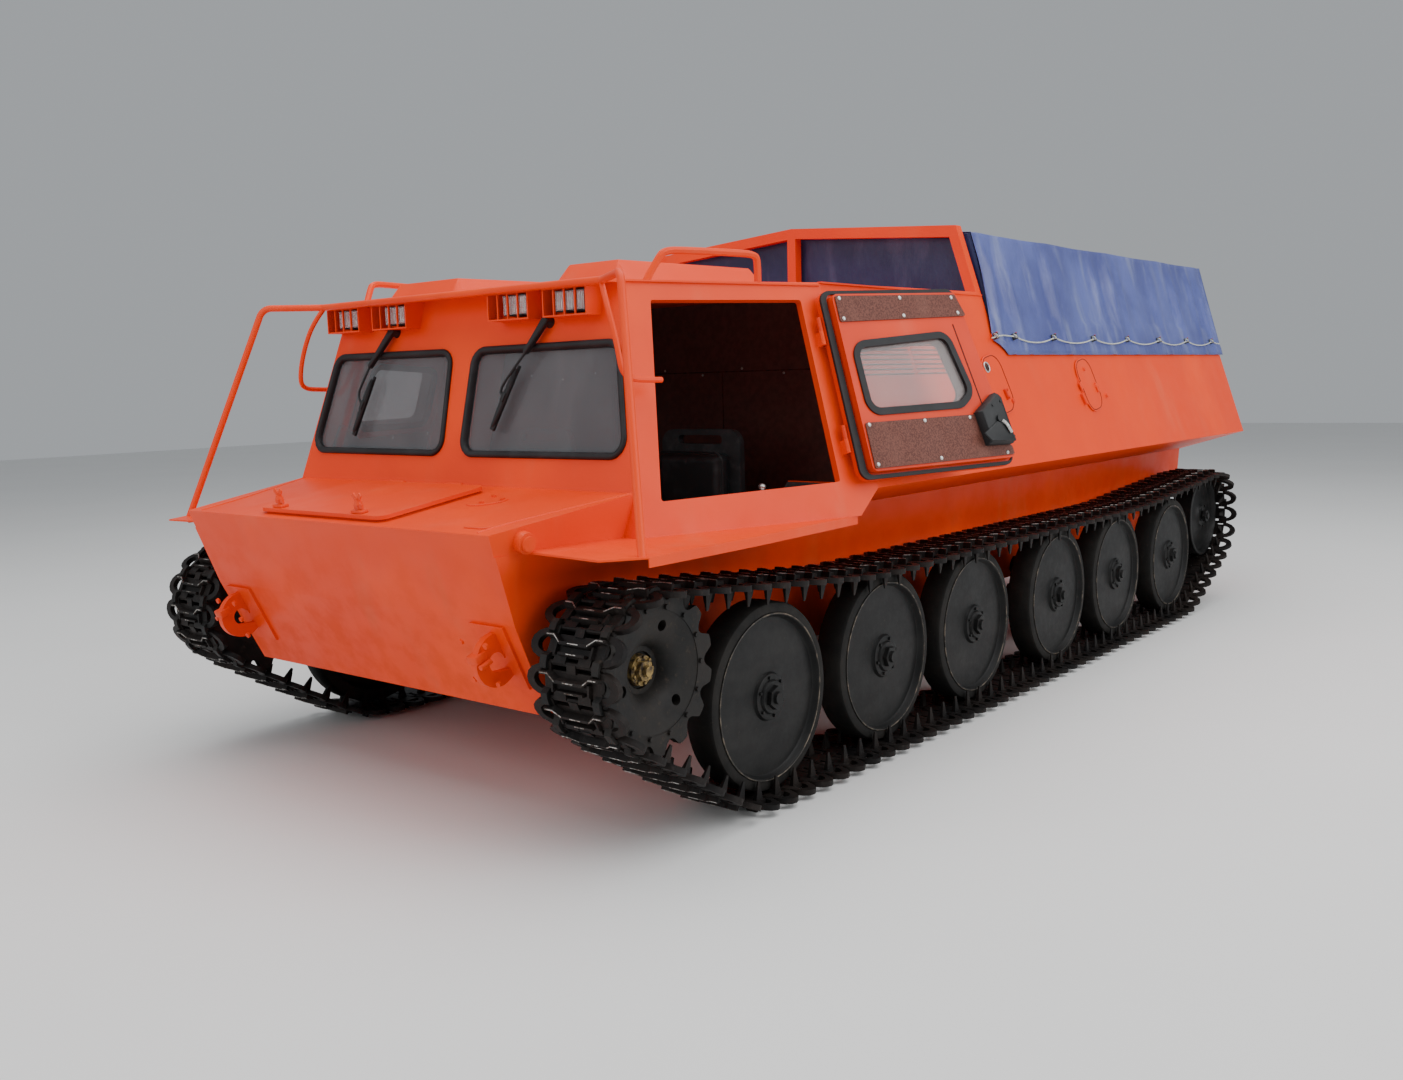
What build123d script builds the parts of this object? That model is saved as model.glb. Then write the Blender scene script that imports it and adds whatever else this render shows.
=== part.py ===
import math
import os
from build123d import *

# Tracked all-terrain vehicle with an armour-like cab, a covered load bed and six road wheels a side.
# Lengths are in mm. X runs to the vehicle's left, Y rearwards from the nose edge, Z up from the ground.

# Body lines
body_length = 6131
side_edge_half = 1290
side_edge_z = 1076
side_lean = 0.329
cab_toe_in = 0.312
cab_break_y = 1563
roof_front_y = 630
roof_front_z = 1842
roof_rise = 0.011
superstructure_end = 2908
windscreen_y = 593
windscreen_z = 1233
windscreen_rake = 0.224
deck_front_z = 1045
deck_slope = 0.1456
shelf_z = 982
hull_top_z = 957
cargo_wall_top = 1690
cab_wall = 30
side_wall = 30
roof_thickness = 30
floor_plate = 12
gusset_front_y = 1450
gusset_slope = 0.832

# Hull
hull_bottom_z = 420
hull_bottom_half = 841
hull_lean = 0.0694
hull_plate = 8
hull_seat_half = 877
sponson_inner_half = 885
sponson_slope = 0.2938
nose_fold_y = 104
nose_fold_z = 749
nose_bottom_y = 260
tail_bevel_y = 5780
tail_bevel_z = 700
shelf_plate = 6
deck_plate = 6
facet_front_half = 880
facet_flare = 0.1227
facet_lean = 0.157
cab_floor_z = 520
cargo_floor_z = 620
bulkhead_y = 1850
bulkhead_thickness = 20

# Running gear
wheel_stations = [986, 1763, 2534, 3424, 4201, 5052]
wheel_radius = 338
wheel_z = 383
wheel_inner_x = 1080
wheel_outer_x = 1200
wheel_sides = 22
tyre_inner_radius = 298
rim_lip_radius = 286
rim_recess = 50
hub_radius = 58
hub_proud = 28
idler_y = 5716
idler_z = 552
idler_radius = 252
sprocket_y = 350
sprocket_z = 600
sprocket_pitch_radius = 247
sprocket_teeth = 14
tooth_tip_radius = 270
tooth_root_radius = 228
tooth_ring_thickness = 30
tooth_ring_x = [1000, 1220]
track_centre_x = 1110
track_width = 390
link_pitch = 111
pin_to_inner = 15
pin_to_tip = 30
pin_to_valley = 6
valley_width = 26
grouser_flank = 8
groove_clearance = 3

# Door
door_hinge_y = 1450
door_hinge_z = 1205
door_back = (0.29202, 0.95622, 0.01922)
door_hinge_height = 30
door_knuckle_radius = 10
door_plate_near = 15
door_plate_far = 35
door_frame_depth = 20
door_frame_gap = 9
door_seal_near = 5
door_lining = 6
door_glass_thickness = 5

# Fits and tubes
pin_gap = 0.3
tube_radius = 13.5
door_open_angle = 180


def facing(point, direction):
    return Plane(origin=point, z_dir=direction)


def behind(solid, *planes):
    for plane in planes:
        solid = split(solid, bisect_by=plane, keep=Keep.BOTTOM)
    return solid


def beyond(solid, plane):
    return split(solid, bisect_by=plane, keep=Keep.TOP)


def block(x0, x1, y0, y1, z0, z1):
    return Pos((x0 + x1) / 2, (y0 + y1) / 2, (z0 + z1) / 2) * Box(x1 - x0, y1 - y0, z1 - z0)


def across(solid):
    return mirror(solid, about=Plane.YZ)


def flip(plane):
    o = plane.origin
    z = plane.z_dir
    return Plane(origin=(-o.X, o.Y, o.Z), z_dir=(-z.X, z.Y, z.Z))


def both(plane):
    return [plane, flip(plane)]


def slab(plane, points, low, high, radius=0):
    face = make_face(Polyline(*points, close=True))
    if radius:
        face = fillet(face.vertices(), radius)
    solid = extrude(Pos(0, 0, low) * face, high - low)
    return plane.location * solid


def profile(points, x0, x1):
    # Points are (y, z); the solid runs from x0 to x1
    plane = Plane(origin=(x0, 0, 0), x_dir=(0, 1, 0), z_dir=(1, 0, 0))
    return plane.location * extrude(make_face(Polyline(*points, close=True)), x1 - x0)


def ring_points(radius, sides, start=0.0):
    turn = 2 * math.pi / sides
    return [(radius * math.cos(start + turn * i), radius * math.sin(start + turn * i)) for i in range(sides)]


def prism(y, z, apothem, sides, x0, x1):
    # Flat faces lie straight below and above the centre
    corner = apothem / math.cos(math.pi / sides)
    start = -math.pi / 2 + math.pi / sides
    points = [(y + a, z + b) for a, b in ring_points(corner, sides, start)]
    return profile(points, x0, x1)


def tube(points, radius, bend):
    path = FilletPolyline(*points, radius=bend)
    start = Plane(origin=path @ 0, z_dir=path % 0)
    return sweep(start * Circle(radius), path=path)


# Planes of the body, all facing outwards
side = facing((side_edge_half, 0, side_edge_z), (1, 0, side_lean))
cab_side = facing((side_edge_half, cab_break_y, side_edge_z), (1, -cab_toe_in, side_lean))
screen = facing((0, windscreen_y, windscreen_z), (0, -1, windscreen_rake))
roof = facing((0, roof_front_y, roof_front_z), (0, -roof_rise, 1))
deck = Plane(origin=(0, 0, deck_front_z), x_dir=(1, 0, 0), z_dir=(0, -deck_slope, 1))
facet = facing((facet_front_half, 0, deck_front_z), (1, -facet_flare, -facet_lean))
underside = facing((sponson_inner_half, 0, hull_top_z), (sponson_slope, 0, -1))
gusset = facing((0, gusset_front_y, shelf_z), (0, gusset_slope, -1))
hull_wall = facing((hull_bottom_half, 0, hull_bottom_z), (1, 0, -hull_lean))
nose_upper = facing((0, 0, deck_front_z), (0, nose_fold_z - deck_front_z, -nose_fold_y))
nose_lower = facing((0, nose_fold_y, nose_fold_z), (0, hull_bottom_z - nose_fold_z, nose_fold_y - nose_bottom_y))
hull_bottom = facing((0, 0, hull_bottom_z), (0, 0, -1))
tail_bevel = facing(
    (0, body_length, tail_bevel_z), (0, tail_bevel_z - hull_bottom_z, tail_bevel_y - body_length)
)
tail = facing((0, body_length, 0), (0, 1, 0))
hull_planes = both(hull_wall) + [nose_upper, nose_lower, hull_bottom, tail_bevel, tail]
door_hinge_x = side_edge_half + cab_toe_in * (door_hinge_y - cab_break_y) - side_lean * (door_hinge_z - side_edge_z)
door_plane = Plane(origin=(door_hinge_x, door_hinge_y, door_hinge_z), x_dir=door_back,
                   z_dir=(1, -cab_toe_in, side_lean))
screen_plane = Plane(origin=(0, windscreen_y, windscreen_z), x_dir=(1, 0, 0), z_dir=(0, -1, windscreen_rake))
roof_plane = Plane(origin=(0, roof_front_y, roof_front_z), x_dir=(1, 0, 0), z_dir=(0, -roof_rise, 1))


def inward(planes, amount):
    return [plane.offset(-amount) for plane in planes]


nodes = {}

# Hull: one welded tub from the nose plates to the tail
outer = behind(block(-1000, 1000, -50, body_length + 50, 400, shelf_z - shelf_plate), *hull_planes)
outer -= block(-1000, 1000, gusset_front_y, body_length + 50, hull_top_z, shelf_z)
inner = behind(block(-1000, 1000, -50, body_length + 50, 400, 1100), *inward(hull_planes, hull_plate))
nose_rise = block(-1000, 1000, -50, 300, shelf_z - shelf_plate, 1100)
nose_rise = behind(nose_rise, nose_upper, deck.offset(-deck_plate), *inward(both(facet), deck_plate))
nose_rise = beyond(nose_rise, nose_upper.offset(-hull_plate))
nodes["hull_tub"] = outer - inner + nose_rise

# Fenders: the flat shelf over the front of each track
fender_outline = [(872, 140), (1235, 105), (1320, 232), (1318, 465), (1311, 790), (1270, gusset_front_y),
                  (872, gusset_front_y)]
fender_lip_drop = 26
fender_lip = 4
fender_face = Polyline(*fender_outline, close=True)
fender = extrude(Pos(0, 0, shelf_z - shelf_plate) * make_face(fender_face), shelf_plate)
lip_outline = [(1320, 232), (1318, 465), (1311, 790), (1270, gusset_front_y), (1266, gusset_front_y),
               (1307, 790), (1314, 465), (1316, 232)]
fender += extrude(Pos(0, 0, shelf_z - shelf_plate - fender_lip_drop)
                  * make_face(Polyline(*lip_outline, close=True)), fender_lip_drop)
nodes["fenders"] = fender + across(fender)

# Bonnet: sloping deck with flared facet walls, and the opening of its hatch
hatch_x0 = -440
hatch_x1 = 305
hatch_y0 = 42
hatch_y1 = 506
hatch_lap = 30
bonnet = behind(block(-1100, 1100, -50, 700, shelf_z - shelf_plate, 1250), deck, nose_upper, *both(facet))
bonnet = beyond(bonnet, screen)
bonnet -= behind(block(-1100, 1100, -60, 800, 900, 1250), *inward([deck] + both(facet), deck_plate))
bonnet -= nodes["fenders"]
hatch_hole = [(hatch_x0 + hatch_lap, hatch_y0 + hatch_lap), (hatch_x1 - hatch_lap, hatch_y0 + hatch_lap),
              (hatch_x1 - hatch_lap, hatch_y1 - hatch_lap), (hatch_x0 + hatch_lap, hatch_y1 - hatch_lap)]
hatch_edge = [(hatch_x0, hatch_y0), (hatch_x1, hatch_y0), (hatch_x1, hatch_y1), (hatch_x0, hatch_y1)]
gasket_edge = [(hatch_x0 + 12, hatch_y0 + 12), (hatch_x1 - 12, hatch_y0 + 12),
               (hatch_x1 - 12, hatch_y1 - 12), (hatch_x0 + 12, hatch_y1 - 12)]
hatch_gasket = 3
hatch_near = 8
hatch_plate = 14
bonnet += slab(deck, gasket_edge, 0, hatch_gasket, 30)
bonnet -= slab(deck, hatch_hole, -40, 40, 30)
hatch_hinges = [-230, 110]
hatch_hinge_width = 90
hatch_axis_y = hatch_y1 + 14
hatch_axis_z = 14
hatch_knuckle = 8
lid = slab(deck, hatch_edge, hatch_near, hatch_near + hatch_plate, 40)
for x in hatch_hinges:
    at = deck.location * Pos(x, hatch_axis_y, hatch_axis_z) * Rot(0, 90, 0)
    half = hatch_hinge_width / 2
    bonnet += at * Pos(0, 0, -half / 2) * Cylinder(hatch_knuckle, half - pin_gap)
    bonnet += deck.location * (Pos(x - half / 2, hatch_axis_y, hatch_axis_z / 2)
                               * Box(half - pin_gap, 8, hatch_axis_z))
    lid += at * Pos(0, 0, half / 2) * Cylinder(hatch_knuckle, half - pin_gap)
    lid += deck.location * (Pos(x + half / 2, hatch_axis_y - 14, hatch_axis_z + 3) * Box(half - pin_gap, 28, 6))
clamp_list = [(-330, 30), (150, 30)]
for x, y in clamp_list:
    lid += deck.location * (Pos(x, hatch_y0 + 26, hatch_near + hatch_plate + 9) * Cylinder(7, 18))
    lid += deck.location * (Pos(x, hatch_y0 + 26, hatch_near + hatch_plate + 22) * Box(46, 8, 16))
nodes["bonnet_hatch"] = lid
boss_radius = 34
boss_height = 34
boss_y = 124
boss_z = 1016
boss_x = facet_front_half + facet_flare * boss_y + facet_lean * (boss_z - deck_front_z)
boss_plane = Plane(origin=(boss_x, boss_y, boss_z), z_dir=(1, -facet_flare, -facet_lean))
boss = boss_plane.location * (Pos(0, 0, boss_height / 2 - 3) * Cylinder(boss_radius, boss_height + 6))
boss += boss_plane.location * (Pos(0, 0, boss_height + 5) * Cylinder(boss_radius - 10, 10))
boss = beyond(boss, facet) - nodes["fenders"]
bonnet += boss + across(boss)

# Cab and body shell, split where the real panels meet
cab_planes = both(cab_side) + [screen, roof, gusset]
visor_half = 785
visor_reach = 630
visor_plate = 8
roof_side_front = behind(block(-1400, 1400, 500, cab_break_y, 1600, 1950), screen, roof, *both(cab_side))
roof_side_rear = behind(block(-1400, 1400, cab_break_y, superstructure_end, 1600, 1950), roof, *both(side))
cab_roof = beyond(roof_side_front + roof_side_rear, roof.offset(-roof_thickness))
visor = behind(block(-visor_half, visor_half, visor_reach, 760, 1780, 1950), roof)
visor = beyond(visor, roof.offset(-visor_plate))
visor = beyond(visor, screen)
cab_roof += visor
roof_hatches = [("roof_hatch_left", 300, 675, 840, 1750), ("roof_hatch_right", -740, -240, 860, 1550)]
roof_hatch_lap = 40
roof_hatch_height = 90
roof_hatch_near = 6
roof_hatch_wall = 8
roof_hatch_slope = 38
roof_hinge_width = 80
roof_knuckle = 8
roof_axis_z = 14
roof_hatch_joints = []
for name, x0, x1, y0, y1 in roof_hatches:
    a = y0 - roof_front_y
    b = y1 - roof_front_y
    lap = roof_hatch_lap
    cab_roof -= slab(roof_plane, [(x0 + lap, a + lap), (x1 - lap, a + lap), (x1 - lap, b - lap), (x0 + lap, b - lap)],
                     -60, 60, 40)
    foot = Polyline((x0, a), (x1, a), (x1, b), (x0, b), close=True)
    foot = fillet(make_face(foot).vertices(), 60)
    shell = extrude(Pos(0, 0, roof_hatch_near) * foot, roof_hatch_height - roof_hatch_near, taper=roof_hatch_slope)
    hollow = Polyline((x0 + 12, a + 12), (x1 - 12, a + 12), (x1 - 12, b - 12), (x0 + 12, b - 12), close=True)
    hollow = fillet(make_face(hollow).vertices(), 50)
    shell -= extrude(Pos(0, 0, roof_hatch_near) * hollow,
                     roof_hatch_height - roof_hatch_near - roof_hatch_wall, taper=roof_hatch_slope)
    hatch = roof_plane.location * shell
    axis_y = b + 13
    for x in (x0 + 110, x1 - 110):
        at = roof_plane.location * Pos(x, axis_y, roof_axis_z) * Rot(0, 90, 0)
        half = roof_hinge_width / 2
        cab_roof += at * Pos(0, 0, -half / 2) * Cylinder(roof_knuckle, half - pin_gap)
        cab_roof += roof_plane.location * (Pos(x - half / 2, axis_y, roof_axis_z / 2)
                                           * Box(half - pin_gap, 8, roof_axis_z))
        hatch += at * Pos(0, 0, half / 2) * Cylinder(roof_knuckle, half - pin_gap)
        hatch += roof_plane.location * (Pos(x + half / 2, axis_y - 14, roof_hatch_near + 3)
                                        * Box(half - pin_gap, 28, 6))
    roof_hatch_joints.append((name, (x0 + x1) / 2, axis_y))
    nodes[name] = hatch
nodes["cab_roof"] = cab_roof

# Cab front with its two windscreens
screen_corners = [(816, 421), (917, 1), (47, -2), (56, 418)]
screen_radius = 70
screen_seal_width = 34
screen_hole_inset = 16
screen_seal_height = 10
cab_front = behind(block(-1400, 1400, 400, 900, shelf_z, 1950), *(cab_planes + [roof.offset(-roof_thickness)]))
cab_front = beyond(cab_front, screen.offset(-cab_wall))


def window(plane, points, inset, radius, low, high):
    face = offset(make_face(Polyline(*points, close=True)), -inset, kind=Kind.INTERSECTION) if inset else make_face(
        Polyline(*points, close=True))
    face = fillet(face.vertices(), radius)
    return plane.location * extrude(Pos(0, 0, low) * face, high - low)


def glazing(plane, points, radius, width, hole_inset, near, far, seal_height, back_height, glass_at, glass_thickness):
    # The seal grips the panel between near and far, and holds the pane in a groove
    hole = window(plane, points, hole_inset, radius - hole_inset, near - 200, far + 200)
    body = window(plane, points, 0, radius, far, far + seal_height)
    body += window(plane, points, hole_inset, radius - hole_inset, near, far)
    if back_height:
        body += window(plane, points, 0, radius, near - back_height, near)
    body -= window(plane, points, width, radius - width, near - 100, far + 100)
    pane = window(plane, points, width - 8, radius - width + 8, glass_at, glass_at + glass_thickness)
    return hole, body - pane, pane


screen_hole, screen_seal, screen_pane = glazing(
    screen_plane, screen_corners, screen_radius, screen_seal_width, screen_hole_inset,
    -cab_wall, 0, screen_seal_height, 0, -18, 6)
cab_front -= screen_hole
cab_front -= across(screen_hole)
nodes["windscreens"] = screen_pane + across(screen_pane)
nodes["windscreen_seals"] = screen_seal + across(screen_seal)

# Cab sides with the door openings
door_opening = [(-38, 608), (-697, 612), (-823, -99), (-45, -98)]
door_outline = [(-11, 622), (-706, 630), (-829, -114), (-11, -114)]
door_outline_radius = 45
door_opening_radius = 10
door_window = [(-82, 410), (-591, 443), (-661, 180), (-579, 124), (-89, 120)]
door_window_radius = 70
door_lining_top = [(-51, 596), (-681, 599), (-723, 497), (-51, 482)]
door_lining_low = [(-57, 101), (-651, 101), (-801, -45), (-807, -86), (-57, -86)]
door_lock_outline = [(-669, 112), (-741, 180), (-775, 150), (-801, -40), (-687, -24)]
door_lock_depth = 46
door_lock_gap = 2
door_glass_depth = -14
side_shell = behind(block(600, 1400, 400, cab_break_y, shelf_z, 1950),
                    *(cab_planes + [roof.offset(-roof_thickness), screen.offset(-cab_wall)]))
side_shell -= behind(block(500, 1400, 300, 1700, 900, 1950), cab_side.offset(-cab_wall), gusset.offset(-floor_plate),
                     facing((0, 0, shelf_z + floor_plate), (0, 0, -1)))
gusset_rise = gusset_slope * (cab_break_y - gusset_front_y)
side_shell -= block(500, hull_seat_half, 300, 1700, 900, shelf_z + gusset_rise + 2 * floor_plate)
opening_cut = window(door_plane, door_opening, 0, door_opening_radius, -120, 60)
cab_side_left = side_shell - opening_cut
cab_front = cab_front - opening_cut - across(opening_cut)
nodes["cab_front"] = cab_front
knuckles = [(0, 105), (418, 524)]
for low, high in knuckles:
    middle = (low + high) / 2
    half = (high - low) / 2
    at = door_plane.location * Pos(0, middle, door_hinge_height) * Rot(90, 0, 0)
    cab_side_left += at * Pos(0, 0, half / 2) * Cylinder(door_knuckle_radius, half - pin_gap)
    cab_side_left += door_plane.location * (Pos(0, middle - half / 2, door_hinge_height / 2)
                                            * Box(8, half - pin_gap, door_hinge_height))
    cab_side_left += door_plane.location * (Pos(16, middle - half / 2, 2.5) * Box(40, half - pin_gap, 5))
nodes["cab_side_left"] = cab_side_left
nodes["cab_side_right"] = across(cab_side_left)

# Side panels: sponson floor and leaning wall, up to the roof in front and to the load bed's rail behind
panel_inner = behind(block(800, 1400, 1500, body_length + 10, 900, 1990), side.offset(-side_wall),
                     underside.offset(-floor_plate))
panel = behind(block(hull_seat_half, 1400, cab_break_y, body_length, hull_top_z, cargo_wall_top), side, underside)
panel += behind(block(hull_seat_half, 1400, cab_break_y, superstructure_end, hull_top_z, 1950), side, underside,
                roof.offset(-roof_thickness))
panel -= panel_inner
wedge = behind(block(hull_seat_half, 1400, gusset_front_y, cab_break_y, hull_top_z, 1100), underside, cab_side)
panel += beyond(wedge, gusset)


def on_side(y, z):
    return Plane(origin=(side_edge_half - side_lean * (z - side_edge_z), y, z), x_dir=(0, 1, 0),
                 z_dir=(1, 0, side_lean))


bed_length = body_length - superstructure_end
front_ring_inset = 29
ring_shares = [0.0524, 0.1899, 0.3469, 0.4949, 0.6513, 0.8011, 0.9497]
ring_stations = [superstructure_end - front_ring_inset] + [superstructure_end + share * bed_length
                                                           for share in ring_shares]
ring_z = 1655
ring_plate = 6
ring_reach = 36
ring_half_height = 16
ring_eye = 24
ring_eye_radius = 10
rope_drop = 4.4
rope_radius = 4
rings = Part()
for y in ring_stations:
    local = on_side(y, ring_z).location
    ring = local * (Pos(0, 0, ring_reach / 2) * Box(ring_plate, 2 * ring_half_height, ring_reach))
    ring -= local * (Pos(0, 0, ring_eye) * Rot(0, 90, 0) * Cylinder(ring_eye_radius, 3 * ring_plate))
    rings += ring

# Side flaps: oblong covers that lean with the wall
flap_length = 262
flap_width = 216
flap_turn = 20
flap_radius = 90
flap_near = 8
flap_plate = 8
flap_hole_inset = 34
flap_hinge_out = 12
flap_knuckle = 7
flap_hinge_half = 60
flap_places = [("filler_flap", 3818, 1421), ("side_flap", 2790, 1440)]
flap_frames = []
for name, y, z in flap_places:
    local = on_side(y, z).location * Rot(0, 0, flap_turn)
    plane = Plane(local)
    hl = flap_length / 2
    hw = flap_width / 2
    edge = [(-hl, -hw), (hl, -hw), (hl, hw), (-hl, hw)]
    panel -= window(plane, edge, flap_hole_inset, flap_radius - flap_hole_inset, -80, 40)
    collar = window(plane, edge, 14, flap_radius - 14, 0, 3)
    panel += collar - window(plane, edge, flap_hole_inset, flap_radius - flap_hole_inset, -5, 10)
    flap = window(plane, edge, 0, flap_radius, flap_near, flap_near + flap_plate)
    axis_x = -hl - 12
    at = local * Pos(axis_x, 0, flap_hinge_out) * Rot(90, 0, 0)
    part_length = flap_hinge_half - pin_gap
    panel += at * Pos(0, 0, flap_hinge_half / 2) * Cylinder(flap_knuckle, part_length)
    panel += local * (Pos(axis_x, -flap_hinge_half / 2, flap_hinge_out / 2) * Box(6, part_length, flap_hinge_out))
    flap += at * Pos(0, 0, -flap_hinge_half / 2) * Cylinder(flap_knuckle, part_length)
    flap += local * (Pos(axis_x + 14, flap_hinge_half / 2, flap_near + flap_plate / 2)
                     * Box(28, part_length, flap_plate))
    flap_frames.append((name, plane, axis_x))
    nodes[name] = flap
nodes["side_panel_left"] = panel + rings
panel_right = behind(block(hull_seat_half, 1400, cab_break_y, body_length, hull_top_z, cargo_wall_top), side,
                     underside)
panel_right += behind(block(hull_seat_half, 1400, cab_break_y, superstructure_end, hull_top_z, 1950), side,
                      underside, roof.offset(-roof_thickness))
panel_right = panel_right - panel_inner + beyond(wedge, gusset) + rings
nodes["side_panel_right"] = across(panel_right)


# Cross walls and floors
def cross_wall(y0, y1, bottom, top, *planes):
    upper = behind(block(-1400, 1400, y0, y1, hull_top_z, top), *(inward(both(side), side_wall)
                   + inward(both(underside), floor_plate) + list(planes)))
    lower = behind(block(-1000, 1000, y0, y1, bottom, hull_top_z), *inward(both(hull_wall), hull_plate))
    return upper + lower


roof_inner = roof.offset(-roof_thickness)
inner_floor_z = hull_bottom_z + hull_plate
nodes["bulkhead"] = cross_wall(bulkhead_y, bulkhead_y + bulkhead_thickness, inner_floor_z, 1950, roof_inner)
nodes["cab_back"] = cross_wall(superstructure_end - side_wall, superstructure_end, inner_floor_z, 1950, roof_inner)
cab_floor = behind(block(-1000, 1000, 100, bulkhead_y, cab_floor_z, cab_floor_z + floor_plate),
                   *inward(both(hull_wall) + [nose_lower], hull_plate))
cargo_floor = behind(block(-1000, 1000, superstructure_end, body_length, cargo_floor_z, cargo_floor_z + floor_plate),
                     *inward(both(hull_wall) + [tail_bevel, tail], hull_plate))
nodes["floors"] = cab_floor + cargo_floor

# Rear wall with its door
rear_door_half = 360
rear_door_bottom = 985
rear_door_top = 1530
rear_door_lap = 20
rear_door_near = 5
rear_door_plate = 20
rear_axis_x = 392
rear_axis_out = 18
rear_knuckle = 10
rear_wall = behind(block(-1400, 1400, body_length - side_wall, body_length, hull_top_z, cargo_wall_top),
                   *(inward(both(side), side_wall) + inward(both(underside), floor_plate)))
rear_wall -= block(-rear_door_half, rear_door_half, body_length - 60, body_length + 10, rear_door_bottom,
                   rear_door_top)
rear_door = block(-rear_door_half - rear_door_lap, rear_door_half + rear_door_lap, body_length + rear_door_near,
                  body_length + rear_door_near + rear_door_plate, rear_door_bottom - rear_door_lap,
                  rear_door_top + rear_door_lap)
rear_door += block(-rear_door_half + 14, rear_door_half - 14, body_length - 16, body_length + rear_door_near,
                   rear_door_bottom + 8, rear_door_top - 8)
rear_hinges = [1080, 1440]
rear_hinge_half = 50
for z in rear_hinges:
    at = Pos(rear_axis_x, body_length + rear_axis_out, z)
    rear_wall += at * Pos(0, 0, -rear_hinge_half / 2) * Cylinder(rear_knuckle, rear_hinge_half - pin_gap)
    rear_wall += block(rear_axis_x, rear_axis_x + 8, body_length, body_length + rear_axis_out,
                       z - rear_hinge_half + pin_gap, z - pin_gap)
    rear_door += at * Pos(0, 0, rear_hinge_half / 2) * Cylinder(rear_knuckle, rear_hinge_half - pin_gap)
    rear_door += block(rear_axis_x - 40, rear_axis_x, body_length + rear_axis_out, body_length + rear_axis_out + 8,
                       z + pin_gap, z + rear_hinge_half - pin_gap)
latch_x = -320
rear_door += block(latch_x - 10, latch_x + 10, body_length + 25, body_length + 55, 1240, 1260)
rear_door += block(latch_x - 10, latch_x + 10, body_length + 55, body_length + 65, 1160, 1260)
nodes["rear_wall"] = rear_wall
nodes["rear_door"] = rear_door


# Doors, built closed on the left side; the left one then swings open about its hinge line
def door_set():
    hole, seal, pane = glazing(door_plane, door_window, door_window_radius, 28, 13, -door_frame_depth, door_plate_far,
                               7, 7, door_glass_depth, door_glass_thickness)
    plate = window(door_plane, door_outline, 0, door_outline_radius, door_plate_near, door_plate_far)
    frame = window(door_plane, door_opening, door_frame_gap, 24, -door_frame_depth, door_plate_near)
    leaf = plate + frame - hole
    for low, high in knuckles:
        middle = (low + high) / 2
        half = (high - low) / 2
        at = door_plane.location * Pos(0, middle, door_hinge_height) * Rot(90, 0, 0)
        leaf += at * Pos(0, 0, -half / 2) * Cylinder(door_knuckle_radius, half - pin_gap)
        leaf += door_plane.location * (Pos(-30, middle + half / 2, door_plate_far + 2.5)
                                       * Box(60, half - pin_gap, 5))
    weather = window(door_plane, door_outline, 1, door_outline_radius - 1, door_seal_near, door_plate_near)
    weather -= window(door_plane, door_opening, 0, 30, -10, 40)
    lining = window(door_plane, door_lining_top, 6, 8, -door_frame_depth - door_lining, -door_frame_depth)
    lining += window(door_plane, door_lining_low, 6, 8, -door_frame_depth - door_lining, -door_frame_depth)
    lock = window(door_plane, door_lock_outline, 0, 10, -door_frame_depth - door_lock_depth, -door_frame_depth)
    lining -= window(door_plane, door_lock_outline, -door_lock_gap, 10, -door_frame_depth - door_lock_depth,
                     -door_frame_depth)
    handle = door_plane.location * (Pos(-739, 60, door_plate_far + 24) * Box(120, 20, 12))
    handle += door_plane.location * (Pos(-691, 60, door_plate_far + 9) * Box(18, 18, 18))
    return {"panel": leaf + handle, "glass": pane, "seals": weather + seal, "lining": lining, "lock": lock}


door_axis = Axis(door_plane.origin + door_plane.z_dir * door_hinge_height, door_plane.y_dir)
for part_name, solid in door_set().items():
    nodes["door_right_" + part_name] = across(solid)
    nodes["door_left_" + part_name] = solid.rotate(door_axis, door_open_angle)

# Hoop frame at the end of the roof
hoop_half = 50
hoop_depth = 50
hoop_corner_z = 2177
hoop_apex_z = 2248
hoop_foot_z = roof_front_z + roof_rise * (superstructure_end - roof_front_y)


def side_x(z):
    return side_edge_half - side_lean * (z - side_edge_z)


def hoop(y0, y1, foot, corner, apex, width, inset=0.0):
    plane = Plane(origin=(0, y1, 0), x_dir=(1, 0, 0), z_dir=(0, -1, 0))
    x_foot = side_x(foot) - inset
    x_corner = side_x(corner) - inset
    outer_points = [(-x_foot, foot), (-x_corner, corner), (0, apex), (x_corner, corner), (x_foot, foot)]
    x_in = side_x(corner - width) - inset - width
    inner_points = [(x_foot - width, foot), (x_in, corner - width), (0, apex - width), (-x_in, corner - width),
                    (-x_foot + width, foot)]
    return plane.location * extrude(make_face(Polyline(*(outer_points + inner_points), close=True)), y1 - y0)


frame = hoop(superstructure_end - hoop_depth, superstructure_end, hoop_foot_z - 3, hoop_corner_z, hoop_apex_z,
             hoop_half)
frame += block(-25, 25, superstructure_end - hoop_depth, superstructure_end, hoop_foot_z - 3, hoop_apex_z - 45)
nodes["hoop_frame"] = beyond(frame, roof)

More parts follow.
